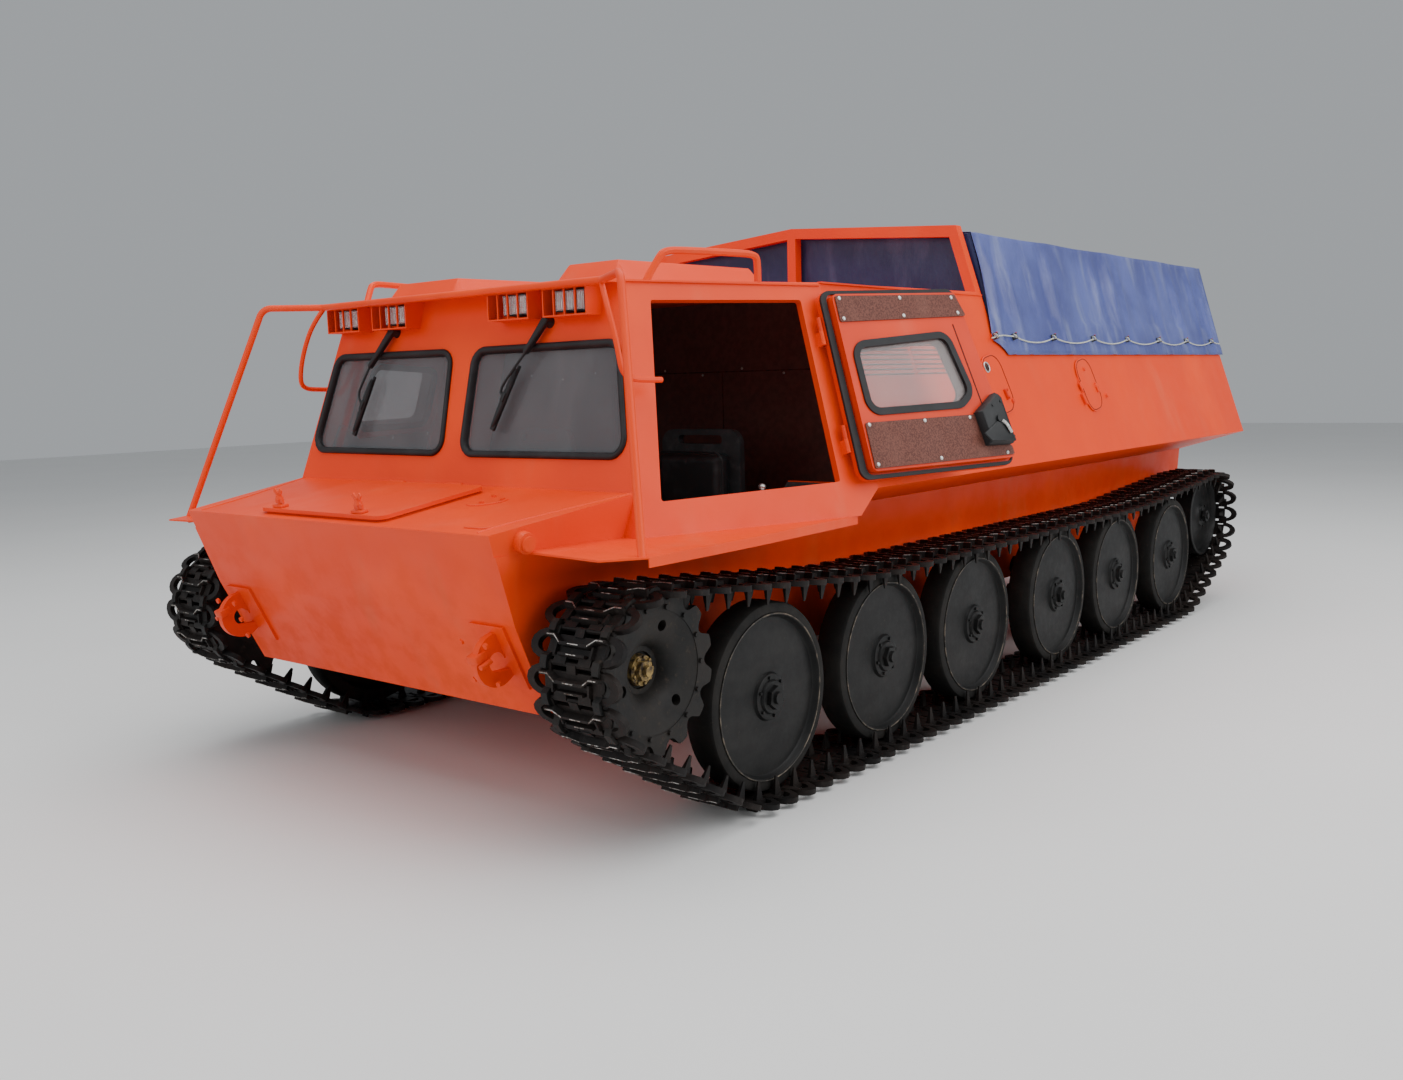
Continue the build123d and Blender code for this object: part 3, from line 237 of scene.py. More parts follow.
def mottled(name, colour, roughness, metallic, pattern, step, low, high, spread=None, **sockets):
    """A finish in two tones of spots. Its roughness may follow them, from a base and by a spread."""
    f = Finish(name, colour, roughness, metallic, **sockets)
    spots = f.noise(*pattern)
    f.set("Base Color", f.blend(spots.above(*step), low, high))
    if spread:
        f.set("Roughness", spread[0] + spread[1] * spots)
    return f, spots


def soft_rubber():
    f = mottled("extruded black rubber", (0.010, 0.010, 0.011), 0.5, 0.0, (12, 5), (0.4, 0.75),
                (0.009, 0.009, 0.010), (0.022, 0.022, 0.024), (0.42, 0.3), Specular_IOR_Level=0.35)[0]
    f.bump((f.noise(320, 2), 0.0003, 0.3))
    return f.material


def window_glass():
    # The grey colour and partial opacity are a slight grey tint and, as painted reflection, the sky
    # reflected in the panes. The lighter haze patches are painted reflection too.
    f = Finish("grey glass with painted sky reflection", (0.16, 0.165, 0.175), 0.06, Specular_IOR_Level=0.7)
    haze = f.noise(3, 5, 0.6, stretch=(1, 1, 0.4))
    f.set("Base Color", f.blend(haze.above(0.3, 0.8), (0.14, 0.145, 0.155), (0.21, 0.21, 0.22)))
    f.set("Alpha", 0.40 + 0.16 * haze)
    f.set("Roughness", 0.03 + 0.05 * haze.above(0.5, 0.85))
    return f.material


def door_pane():
    f = Finish("clear door pane", (0.50, 0.44, 0.43), 0.05, Specular_IOR_Level=0.6)
    haze = f.noise(4, 5, 0.6, stretch=(1, 1, 0.4))
    f.set("Alpha", 0.20 + 0.14 * haze)
    return f.material


def lamp_glass():
    f = Finish("ribbed clear glass", (0.9, 0.92, 0.92), 0.05, Transmission_Weight=0.85, IOR=1.45)
    ribs = f.waves(38, "X")
    f.set("Roughness", 0.04 + 0.06 * f.noise(40, 3))
    f.bump((ribs, 0.003, 0.7))
    return f.material


def faced_plywood():
    f = Finish("brown film-faced plywood", (0.13, 0.045, 0.034), 0.5, Specular_IOR_Level=0.3)
    flecks = f.noise(150, 4, 0.6)
    smear = f.noise(7, 5, 0.6, stretch=(1, 1, 0.5))
    grain = f.noise(18, 6, 0.6, stretch=(1, 1, 9))
    tint = f.blend(flecks.above(0.35, 0.65), (0.085, 0.021, 0.013), (0.172, 0.057, 0.038))
    tint = f.blend(smear.above(0.5, 0.8) * 0.35, tint, (0.24, 0.105, 0.078))
    f.set("Base Color", f.blend(grain.above(0.55, 0.7) * 0.2, tint, (0.04, 0.016, 0.012)))
    f.set("Roughness", 0.45 + 0.25 * smear)
    f.bump((grain, 0.0006, 0.25), (flecks, 0.0003, 0.3))
    return f.material


def cabin_plywood():
    f = Finish("dark brown lining board", (0.09, 0.030, 0.022), 0.6)
    flecks = f.noise(34, 6, 0.6)
    smear = f.noise(5, 4)
    tint = f.blend(flecks.above(0.35, 0.65), (0.085, 0.028, 0.021), (0.125, 0.043, 0.032))
    f.set("Base Color", f.blend(smear.above(0.5, 0.8) * 0.4, tint, (0.17, 0.07, 0.05)))
    f.bump((flecks, 0.0003, 0.12))
    return f.material


def moulded_black():
    f = Finish("black moulded plastic", (0.008, 0.009, 0.009), 0.45, Specular_IOR_Level=0.4)
    grain = f.noise(420, 2)
    scuff = f.noise(30, 6, 0.7)
    f.set("Base Color", f.blend(scuff.above(0.55, 0.8) * 0.6, (0.008, 0.009, 0.010), (0.030, 0.031, 0.032)))
    f.set("Roughness", 0.38 + 0.3 * scuff)
    f.bump((grain, 0.0004, 0.4))
    return f.material


def track_casting():
    f = Finish("muddy cast steel", (0.008, 0.006, 0.005), 0.5, 0.1, Specular_IOR_Level=0.35)
    cloud = f.noise(6, 5, 0.6)
    grit = f.noise(45, 6, 0.7)
    fine = f.noise(180, 3)
    tint = f.blend(cloud.above(0.35, 0.65), (0.003, 0.002, 0.002), (0.013, 0.008, 0.006))
    tint = f.blend(grit.above(0.56, 0.78) * 0.5, tint, (0.060, 0.042, 0.034))
    f.set("Base Color", tint)
    f.set("Metallic", 0.30 - 0.28 * grit.above(0.45, 0.7))
    f.set("Roughness", 0.42 + 0.4 * grit)
    f.bump((cloud, 0.004, 0.2), (grit, 0.002, 0.5), (fine, 0.0005, 0.4))
    return f.material


def worn_steel():
    f, grit = mottled("steel rubbed bright", (0.50, 0.48, 0.45), 0.32, 0.95, (60, 5, 0.65), (0.40, 0.62),
                      (0.55, 0.53, 0.50), (0.09, 0.065, 0.05), (0.25, 0.45))
    f.bump((grit, 0.0008, 0.4))
    return f.material


def sprocket_casting():
    f = Finish("dusty grey-brown casting", (0.018, 0.016, 0.015), 0.5, 0.1, Specular_IOR_Level=0.35)
    cloud = f.noise(7, 5, 0.6)
    grit = f.noise(40, 6, 0.7)
    tint = f.blend(cloud.above(0.35, 0.7), (0.003, 0.003, 0.003), (0.013, 0.010, 0.008))
    tint = f.blend(grit.above(0.55, 0.8) * 0.6, tint, (0.085, 0.060, 0.041))
    f.set("Base Color", tint)
    f.set("Roughness", 0.45 + 0.35 * grit)
    f.bump((cloud, 0.004, 0.25), (grit, 0.0012, 0.5))
    return f.material


def wheel_enamel():
    f = Finish("dusty dark grey enamel", (0.006, 0.006, 0.006), 0.4, Specular_IOR_Level=0.3)
    cloud = f.noise(5, 5, 0.6)
    dust = f.noise(28, 6, 0.7)
    rub = f.noise(11, 4, 0.5, stretch=(1, 0.3, 1))
    tint = f.blend(cloud.above(0.35, 0.7), (0.0015, 0.0015, 0.0015), (0.005, 0.005, 0.005))
    tint = f.blend(rub.above(0.42, 0.75) * 0.6, tint, (0.015, 0.014, 0.013))
    tint = f.blend(dust.above(0.60, 0.82) * 0.5, tint, (0.085, 0.070, 0.058))
    f.set("Base Color", tint)
    f.set("Roughness", 0.36 + 0.35 * dust)
    f.bump((cloud, 0.004, 0.15), (dust, 0.0008, 0.4))
    return f.material


def solid_tyre():
    f = Finish("scuffed solid rubber", (0.022, 0.019, 0.017), 0.75, Specular_IOR_Level=0.3)
    cloud = f.noise(8, 5, 0.6)
    grit = f.noise(70, 5, 0.7)
    tint = f.blend(cloud.above(0.35, 0.7), (0.004, 0.0035, 0.003), (0.013, 0.011, 0.009))
    f.set("Base Color", f.blend(grit.above(0.6, 0.75) * 0.4, tint, (0.07, 0.055, 0.044)))
    f.set("Roughness", 0.6 + 0.3 * grit)
    f.bump((grit, 0.0015, 0.5))
    return f.material


def lamp_silver():
    f = Finish("bright lamp reflector", (0.80, 0.80, 0.78), 0.14, 0.9)
    facets = f.cells(34)
    f.set("Roughness", 0.10 + 0.2 * facets)
    f.bump((facets, 0.004, 0.8))
    return f.material


def red_lens():
    f = mottled("red lamp lens", (0.42, 0.012, 0.010), 0.12, 0.0, (20, 4), (0.4, 0.8),
                (0.42, 0.012, 0.010), (0.25, 0.010, 0.008), Coat_Weight=0.6)[0]
    f.bump((f.waves(60, "X") + f.waves(60, "Z"), 0.0012, 0.6))
    return f.material


def rubbed_edge():
    f, rust = mottled("rubbed steel edge", (0.16, 0.13, 0.10), 0.5, 0.4, (22, 5, 0.6), (0.45, 0.65),
                      (0.04, 0.036, 0.032), (0.20, 0.16, 0.12))
    f.bump((rust, 0.0008, 0.4))
    return f.material


def yellowed_nut():
    f, rust = mottled("yellowed rusty nut", (0.20, 0.13, 0.045), 0.55, 0.5, (60, 5, 0.6), (0.35, 0.65),
                      (0.045, 0.030, 0.020), (0.34, 0.23, 0.08), (0.4, 0.3))
    f.bump((rust, 0.001, 0.4))
    return f.material


def seat_vinyl():
    f = mottled("black seat vinyl", (0.020, 0.023, 0.024), 0.5, 0.0, (16, 5), (0.45, 0.8),
                (0.018, 0.021, 0.022), (0.050, 0.054, 0.055), (0.38, 0.25))[0]
    f.bump((f.cells(190), 0.0006, 0.5))
    return f.material


def engine_iron():
    f = mottled("oily cast iron", (0.12, 0.12, 0.12), 0.5, 0.5, (8, 5), (0.4, 0.7),
                (0.06, 0.055, 0.05), (0.16, 0.155, 0.15))[0]
    f.bump((f.noise(90, 4), 0.001, 0.6))
    return f.material


def floor_mat():
    f, dirt = mottled("ribbed floor mat", (0.035, 0.035, 0.036), 0.8, 0.0, (9, 6, 0.7), (0.45, 0.75),
                      (0.028, 0.028, 0.03), (0.14, 0.11, 0.09))
    f.bump((f.waves(60, "X"), 0.002, 0.5), (dirt, 0.001, 0.3))
    return f.material


def grey_shell():
    f = mottled("moulded dark grey shell", (0.030, 0.037, 0.039), 0.5, 0.0, (18, 5, 0.6), (0.45, 0.75),
                (0.040, 0.050, 0.053), (0.085, 0.098, 0.100), (0.42, 0.25))[0]
    f.bump((f.noise(300, 3), 0.0004, 0.4))
    return f.material


def shadow_gap():
    return mottled("grimy joint line", (0.030, 0.010, 0.006), 0.9, 0.0, (40, 4), (0.4, 0.7),
                   (0.020, 0.007, 0.005), (0.12, 0.018, 0.006))[0].material


def plated_screw():
    return mottled("zinc-plated screws", (0.62, 0.61, 0.58), 0.28, 0.9, (120, 4), (0.5, 0.7),
                   (0.66, 0.65, 0.62), (0.40, 0.38, 0.35), (0.22, 0.25))[0].material


paint = orange_enamel("orange enamel", ORANGE, ORANGE_DEEP)
wall_paint = orange_enamel("orange side wall", ORANGE, ORANGE_DEEP, ringed=True)
# A darker copy of the orange enamel, as painted shade for the door panels, which get less light. The side
# flap's catch uses it too.
shaded_orange_paint = orange_enamel("deep orange door", (0.78, 0.042, 0.0), (0.58, 0.022, 0.0))
tarp_cloth = tarpaulin("coated blue tarpaulin", 1.15)
# The end walls take a copy of the tarpaulin darkened as painted shade, for cloth that faces away from the
# light.
tarp_shaded = tarpaulin("end cloth darkened as painted shade", 0.42)
cord_finish = lashing_cord()
rubber = soft_rubber()
glass = window_glass()
side_glass = door_pane()
lens = lamp_glass()
plywood = faced_plywood()
cabin_board = cabin_plywood()
plastic = moulded_black()
casting = track_casting()
bright = worn_steel()
sprocket_finish = sprocket_casting()
wheel_finish = wheel_enamel()
tyre_rubber = solid_tyre()
reflector = lamp_silver()
red = red_lens()
vinyl = seat_vinyl()
iron = engine_iron()
mat = floor_mat()
screw_finish = plated_screw()
seat_shell = grey_shell()
# Dark joint lines, and strips of painted shadow in the door's recess, the louvre slots and the finger hole.
seam_and_painted_shadow = shadow_gap()
rim_edge = rubbed_edge()
hub_finish = yellowed_nut()

by_slot = {"orange_paint": paint, "blue_tarp": tarp_cloth, "rope": cord_finish, "black_rubber": rubber,
           "clear_glass": glass, "brown_ply": plywood, "black_plastic": plastic, "track_steel": casting,
           "wheel_paint": wheel_finish, "tyre": tyre_rubber, "bright_steel": bright, "lamp": plastic,
           "red_lamp": red, "seat_cover": vinyl, "engine_iron": iron, "dark_floor": mat}
for name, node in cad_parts.items():
    for slot in node.material_slots:
        key = slot.material.name.split(".")[0]
        slot.material = by_slot.get(key, paint)
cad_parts["bulkhead"].material_slots[0].material = cabin_board
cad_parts["seat_frames"].material_slots[0].material = seat_shell
for side in ("left", "right"):
    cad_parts["door_" + side + "_glass"].material_slots[0].material = side_glass
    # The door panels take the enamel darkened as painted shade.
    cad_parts["door_" + side + "_panel"].material_slots[0].material = shaded_orange_paint
    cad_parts["side_panel_" + side].material_slots[0].material = wall_paint


# Modelling helpers
def piece(name, bm, material, body="body", replaces=(), smooth=35):
    """Makes a piece of a bmesh in the vehicle's millimetres. It rides on a body."""
    place(bm)
    bmesh.ops.recalc_face_normals(bm, faces=bm.faces)
    mesh = bpy.data.meshes.new(name)
    bm.to_mesh(mesh)
    bm.free()
    for polygon in mesh.polygons:
        polygon.use_smooth = smooth > 0
    if smooth:
        mesh.set_sharp_from_angle(angle=math.radians(smooth))
    mesh.materials.append(material)
    obj = bpy.data.objects.new(name, mesh)
    scene.collection.objects.link(obj)
    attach(obj, body)
    if replaces:
        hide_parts(*replaces)
    return obj


def round_part(profile, steps):
    """Spins a profile of (along, radius) about the X axis into one closed turned part."""
    bm = bmesh.new()
    verts = [bm.verts.new((along, radius, 0)) for along, radius in profile]
    edges = [bm.edges.new(pair) for pair in zip(verts, verts[1:])]
    bmesh.ops.spin(bm, geom=verts + edges, cent=(0, 0, 0), axis=(1, 0, 0), angle=2 * math.pi,
                   steps=steps, use_merge=True)
    bmesh.ops.remove_doubles(bm, verts=bm.verts, dist=0.01)
    bmesh.ops.recalc_face_normals(bm, faces=bm.faces)
    return bm


def copy_into(target, source, matrix):
    """Adds a transformed copy of one bmesh to another."""
    mesh = bpy.data.meshes.new("copy")
    source.to_mesh(mesh)
    mesh.transform(matrix)
    if matrix.determinant() < 0:
        mesh.flip_normals()
    target.from_mesh(mesh)
    bpy.data.meshes.remove(mesh)


def box_part(bm, x0, x1, s0, s1, z0, z1, matrix=Matrix(), bevel=0.0):
    size = Matrix.Diagonal((x1 - x0, s1 - s0, z1 - z0, 1))
    where = Matrix.Translation(((x0 + x1) / 2, (s0 + s1) / 2, (z0 + z1) / 2))
    made = bmesh.ops.create_cube(bm, size=1, matrix=matrix @ where @ size)
    if bevel:
        edges = list({edge for vert in made["verts"] for edge in vert.link_edges})
        bmesh.ops.bevel(bm, geom=edges, offset=bevel, offset_type="OFFSET", segments=2, profile=0.5,
                        affect="EDGES", material=-1, clamp_overlap=True)


def stub(bm, matrix, segments, radius, top, depth):
    """A round or six-sided stub with its axis along a frame's X."""
    bmesh.ops.create_cone(bm, cap_ends=True, segments=segments, radius1=radius, radius2=top, depth=depth,
                          matrix=matrix @ Matrix.Rotation(math.pi / 2, 4, "Y"))


MIRRORED = Matrix.Diagonal((-1, 1, 1, 1))
BOTH = (Matrix(), MIRRORED)

# Running gear
WHEELS = (986, 1763, 2534, 3424, 4201, 5052)
WHEEL_Z = 383
WHEEL_FACE = 1200
STEPS = 72
wheel_profile = [(-120, 0), (-120, 52), (-112, 60), (-84, 66), (-76, 90), (-72, 260), (-84, 274),
                 (-119, 283), (-120, 298), (-2, 298), (2, 296), (2, 291), (-2, 288), (-16, 285), (-21, 280),
                 (-21, 262), (-17, 230), (-19, 120), (-16, 88), (-10, 84), (-4, 82), (-2, 78), (-2, 62),
                 (4, 60), (8, 57), (8, 36), (9, 34), (9, 0)]
tyre_profile = [(-120, 298), (-120, 322), (-116, 332), (-106, 338), (-14, 338), (-4, 332), (0, 322),
                (0, 300), (-2, 298), (-120, 298)]
wheel = round_part(wheel_profile, STEPS)
nut = bmesh.new()
stub(nut, Matrix.Translation((14, 0, 0)), 6, 45, 42, 22)
stub(nut, Matrix.Translation((26, 0, 0)), 20, 25, 21, 20)
for number in range(6):
    turn = Matrix.Rotation(number * math.pi / 3 + 0.3, 4, "X")
    stub(nut, turn @ Matrix.Translation((2, 71, 0)), 6, 7, 6, 8)
tyre = round_part(tyre_profile, STEPS)
wheels = bmesh.new()
tyres = bmesh.new()
for s in WHEELS:
    spot = Matrix.Translation((WHEEL_FACE, s, WHEEL_Z)) @ Matrix.Rotation(s * 0.37, 4, "X")
    for side in BOTH:
        copy_into(wheels, wheel, side @ spot)
        copy_into(wheels, nut, side @ spot)
        copy_into(tyres, tyre, side @ spot)
rims = bmesh.new()
rim_line = round_part([(1, 294), (4, 294), (5, 296), (4, 298), (1, 298), (0, 296), (1, 294)], STEPS)
for s in WHEELS:
    for side in BOTH:
        copy_into(rims, rim_line, side @ Matrix.Translation((WHEEL_FACE, s, WHEEL_Z)))
piece("wheel_rim_lines", rims, rim_edge)
piece("road_wheel_set", wheels, wheel_finish, replaces=["road_wheels"])
piece("tyre_set", tyres, tyre_rubber, replaces=["wheel_tyres"])

# Idlers: dished steel wheels with a rolled rim
IDLER = (5716, 552)
IDLER_FACE = 1180
idler_profile = [(-120, 0), (-120, 48), (-70, 60), (-66, 205), (-78, 222), (-118, 238), (-120, 252),
                 (-4, 252), (0, 248), (0, 236), (-6, 230), (-34, 222), (-42, 208), (-44, 150), (-30, 80),
                 (-20, 70), (-12, 64), (-12, 40), (-8, 34), (-8, 0)]
idler = round_part(idler_profile, 64)
idlers = bmesh.new()
for side in BOTH:
    copy_into(idlers, idler, side @ Matrix.Translation((IDLER_FACE, *IDLER)))
    copy_into(idlers, nut, side @ Matrix.Translation((IDLER_FACE - 2, *IDLER)) @ Matrix.Scale(0.9, 4))
piece("idler_set", idlers, wheel_finish, replaces=["idlers"])

# Sprockets: two toothed rings, a dished disc with three holes, and the hub with its castle nut
SPROCKET = (350, 600)
TEETH = 14


def toothed_ring(x0, x1, inner):
    bm = bmesh.new()
    steps = TEETH * 12
    rim = []
    for index in range(steps):
        share = (index % 12) / 12
        angle = 2 * math.pi * index / steps
        gullet = math.sqrt(max(0.0, 1 - ((min(share, 1 - share)) / 0.27) ** 2))
        radius = 268 - 36 * gullet - 5 * abs(2 * share - 1)
        rim.append((radius * math.cos(angle), radius * math.sin(angle)))
    verts = [bm.verts.new((x0, a, b)) for a, b in rim]
    outline = [bm.edges.new((verts[i], verts[(i + 1) % steps])) for i in range(steps)]
    turns = [2 * math.pi * i / steps for i in range(steps)]
    hole = [bm.verts.new((x0, inner * math.cos(angle), inner * math.sin(angle))) for angle in turns]
    outline += [bm.edges.new((hole[i], hole[(i + 1) % steps])) for i in range(steps)]
    bmesh.ops.bridge_loops(bm, edges=outline)
    made = bmesh.ops.extrude_face_region(bm, geom=bm.faces[:])
    fresh = [item for item in made["geom"] if isinstance(item, bmesh.types.BMVert)]
    bmesh.ops.translate(bm, vec=(x1 - x0, 0, 0), verts=fresh)
    return bm


def cut(target, cutter):
    """Cuts one bmesh out of another and returns the cut bmesh."""
    objects = []
    for bm in (target, cutter):
        mesh = bpy.data.meshes.new("cut")
        bmesh.ops.recalc_face_normals(bm, faces=bm.faces)
        bm.to_mesh(mesh)
        bm.free()
        obj = bpy.data.objects.new("cut", mesh)
        scene.collection.objects.link(obj)
        objects.append(obj)
    modifier = objects[0].modifiers.new("cut", "BOOLEAN")
    modifier.object = objects[1]
    modifier.solver = "EXACT"
    graph = bpy.context.evaluated_depsgraph_get()
    result = bmesh.new()
    mesh = bpy.data.meshes.new_from_object(objects[0].evaluated_get(graph))
    result.from_mesh(mesh)
    bpy.data.meshes.remove(mesh)
    for obj in objects:
        bpy.data.objects.remove(obj)
    return result


disc_profile = [(-124, 60), (-60, 150), (-34, 190), (-14, 206), (-6, 212), (-2, 214), (-2, 200), (-5, 190),
                (-9, 178), (-14, 158), (-19, 130), (-29, 108), (-46, 90), (-66, 80), (-84, 72), (-88, 62),
                (-88, 0)]
sprocket = bmesh.new()
face = round_part([(-124, 0)] + disc_profile, 64)
holes = bmesh.new()
for number in range(3):
    turn = Matrix.Rotation(2 * math.pi * number / 3 + 1.27, 4, "X")
    stub(holes, turn @ Matrix.Translation((-20, 147, 0)), 24, 18, 18, 90)
face = cut(face, holes)
copy_into(sprocket, face, Matrix.Translation((1234, 0, 0)))
copy_into(sprocket, toothed_ring(1205, 1233, 196), Matrix())
copy_into(sprocket, toothed_ring(985, 1013, 150), Matrix())
drum = round_part([(800, 0), (800, 118), (975, 118), (985, 160), (1160, 160), (1160, 60), (1120, 58),
                   (1120, 0)], 48)
copy_into(sprocket, drum, Matrix())
for number in range(TEETH):
    turn = Matrix.Rotation(2 * math.pi * number / TEETH, 4, "X")
    stub(sprocket, turn @ Matrix.Translation((1237, 206, 0)), 6, 9, 8, 10)
hub = bmesh.new()
stub(hub, Matrix.Translation((1156, 0, 0)), 28, 52, 49, 24)
stub(hub, Matrix.Translation((1176, 0, 0)), 6, 36, 34, 18)
stub(hub, Matrix.Translation((1192, 0, 0)), 20, 19, 17, 16)
for number in range(9):
    turn = Matrix.Rotation(math.pi * number / 4.5, 4, "X")
    box_part(hub, 1164, 1176, 38, 47, -6, 6, turn, 1)
sprockets = bmesh.new()
hubs = bmesh.new()
for side in BOTH:
    copy_into(sprockets, sprocket, side @ Matrix.Translation((0, *SPROCKET)))
    copy_into(hubs, hub, side @ Matrix.Translation((0, *SPROCKET)))
piece("sprocket_hubs", hubs, hub_finish)
piece("sprocket_set", sprockets, sprocket_finish, replaces=["sprockets"])

# Track path: pins round the sprocket, the road wheels and the idler
PITCH = 111
TRACK_X = 1110
IDLER_TURN = 273
SPROCKET_TURN = 247
REAR_RISE = (4900, 772)
FRONT_RISE = (1100, 778)
PIN_Z = 30
BEND = 368
BEND_SHIFT = 80
TOP_PIN_Z = 736


def join_rounds(first, r_first, second, r_second):
    """The heading of the straight run that joins two rounds."""
    ds = second[0] - first[0]
    dz = second[1] - first[1]
    return math.atan2(dz, ds) - math.asin((r_second - r_first) / math.hypot(ds, dz))


def round_run(centre, radius, start, end):
    while end < start:
        end += 2 * math.pi
    count = max(2, int(math.degrees(end - start)))
    return [(centre[0] + radius * math.sin(start + (end - start) * i / count),
             centre[1] - radius * math.cos(start + (end - start) * i / count)) for i in range(count + 1)]


first_wheel = (WHEELS[0] - BEND_SHIFT, PIN_Z + BEND)
last_wheel = (WHEELS[-1] + BEND_SHIFT, PIN_Z + BEND)
up_rear = join_rounds(last_wheel, BEND, IDLER, IDLER_TURN)
off_idler = join_rounds(IDLER, IDLER_TURN, REAR_RISE, 0)
on_sprocket = join_rounds(FRONT_RISE, 0, SPROCKET, SPROCKET_TURN)
down_front = join_rounds(SPROCKET, SPROCKET_TURN, first_wheel, BEND)
track_path = (round_run(last_wheel, BEND, 0, up_rear) + round_run(IDLER, IDLER_TURN, up_rear, off_idler)
              + [REAR_RISE, (4400, TOP_PIN_Z + 1), (WHEELS[4], TOP_PIN_Z), (WHEELS[1], TOP_PIN_Z),
                 (1560, TOP_PIN_Z + 1), FRONT_RISE]
              + round_run(SPROCKET, SPROCKET_TURN, on_sprocket, down_front)
              + round_run(first_wheel, BEND, down_front, 0))


def pins_along(points, pitch):
    """Points spaced evenly round a closed path, as near to a pitch as fits."""
    closed = points + [points[0]]
    runs = [math.dist(a, b) for a, b in zip(closed, closed[1:])]
    count = round(sum(runs) / pitch)
    step = sum(runs) / count
    pins = []
    passed = 0.0
    index = 0
    for number in range(count):
        while passed + runs[index] < number * step:
            passed += runs[index]
            index += 1
        share = (number * step - passed) / runs[index] if runs[index] else 0
        a, b = closed[index], closed[index + 1]
        pins.append((a[0] + (b[0] - a[0]) * share, a[1] + (b[1] - a[1]) * share))
    return pins


pins = pins_along(track_path, PITCH)


def ridge(bm, line, width, low, high):
    """A raised rib along a line of x and along points, from low to high outwards."""
    rows = []
    section = ((-0.5, low), (-0.3, high), (0.3, high), (0.5, low))
    for x, along in line:
        rows.append([bm.verts.new((x, along + width * share, z)) for share, z in section])
    for first, second in zip(rows, rows[1:]):
        for index in range(3):
            bm.faces.new((first[index], first[index + 1], second[index + 1], second[index]))
    bm.faces.new(rows[0])
    bm.faces.new(list(reversed(rows[-1])))


def link_plate():
    """One link from its pin to the next: a plate with a stepped grouser, ribs and two guide horns."""
    bm = bmesh.new()
    box_part(bm, -120, 120, 22, 92, -8, 5)
    for x in (-104, 0, 104):
        box_part(bm, x - 19, x + 19, -2, 26, -10, 11)
    for x in (-52, 52):
        box_part(bm, x - 26, x + 26, 86, 112, -10, 11)
    ridge(bm, [(-124, 30), (-88, 30), (-58, 52), (58, 52), (88, 30), (124, 30)], 17, 3, 28)
    ridge(bm, [(-56, 84), (56, 84)], 13, 3, 24)
    for x in (-76, 76):
        ridge_turned = bmesh.new()
        ridge(ridge_turned, [(50, 0), (88, 0)], 13, 3, 19)
        copy_into(bm, ridge_turned, Matrix.Translation((x, 0, 0)) @ Matrix.Rotation(math.pi / 2, 4, "Z"))
        ridge_turned.free()
    for x in (-52, 106):
        bmesh.ops.create_cone(bm, cap_ends=True, segments=4, radius1=27, radius2=7, depth=66,
                              matrix=Matrix.Translation((x, 56, -40)) @ Matrix.Diagonal((0.45, 1, -1, 1))
                              @ Matrix.Rotation(math.pi / 4, 4, "Z"))
    return bm


def link_loop():
    """The D-shaped end of a link: a thick bar bent out sideways and back."""
    bm = bmesh.new()
    section = ((116, 26, -9), (116, 6, -9), (116, 6, 11), (116, 26, 11))
    end = bm.faces.new([bm.verts.new(co) for co in section])
    steps = 8
    for number in range(steps):
        made = bmesh.ops.extrude_face_region(bm, geom=[end])
        fresh = [item for item in made["geom"] if isinstance(item, bmesh.types.BMVert)]
        bmesh.ops.delete(bm, geom=[end], context="FACES_ONLY")
        end = [item for item in made["geom"] if isinstance(item, bmesh.types.BMFace)][0]
        bmesh.ops.rotate(bm, verts=fresh, cent=(116, 56, 0), matrix=Matrix.Rotation(math.pi / steps, 3, "Z"))
    for vert in bm.verts:
        vert.co.x = 116 + (vert.co.x - 116) * 1.56
    return bm


def worn_edges():
    """The rubbed tops of a link's grouser and of its short rib."""
    bm = bmesh.new()
    ridge(bm, [(-118, 30), (-88, 30), (-59, 51)], 5.0, 27, 29.6)
    ridge(bm, [(59, 51), (88, 30), (118, 30)], 5.0, 27, 29.6)
    ridge(bm, [(-22, 52), (22, 52)], 4.0, 27, 29.4)
    ridge(bm, [(-20, 84), (20, 84)], 4.0, 23, 25)
    return bm


link = link_plate()
loop = link_loop()
edge = worn_edges()
for name, side in (("left", Matrix()), ("right", MIRRORED)):
    plates = bmesh.new()
    loops = bmesh.new()
    edges = bmesh.new()
    for here, after in zip(pins, pins[1:] + pins[:1]):
        angle = math.atan2(after[1] - here[1], after[0] - here[0])
        spot = side @ Matrix.Translation((TRACK_X, *here)) @ Matrix.Rotation(angle, 4, "X")
        spot = spot @ Matrix.Scale(-1, 4, (0, 0, 1))
        copy_into(plates, link, spot)
        copy_into(edges, edge, spot)
        for end in BOTH:
            copy_into(loops, loop, spot @ end)
    piece("track_links_" + name, plates, casting, replaces=["track_" + name], smooth=0)
    piece("track_edges_" + name, edges, bright, smooth=0)
    piece("track_ends_" + name, loops, casting, replaces=["track_" + name], smooth=50)

# Pins show as short round ends between the loops
pin_ends = bmesh.new()
for s, z in pins:
    for x in (-1, 1):
        stub(pin_ends, Matrix.Translation((TRACK_X * x, s, z)), 8, 9, 9, 262)
piece("track_pins", pin_ends, casting)

# Canopy: one coated sheet over the bows, with a doubled hem, hung down both sides and closed at each end
HEM = (1134, 1576)
EAVE = (972, 2150)
RIDGE = 2243
TARP_START = 2930
TARP_END = 6173
BOWS = (2975, 3755, 4555, 5355, 6075)
RINGS = (2879, 3077, 3520, 4026, 4503, 5007, 5490, 5969)
side_run = math.hypot(HEM[0] - EAVE[0], EAVE[1] - HEM[1])
top_run = math.hypot(EAVE[0], RIDGE - EAVE[1])
half_width = side_run + top_run

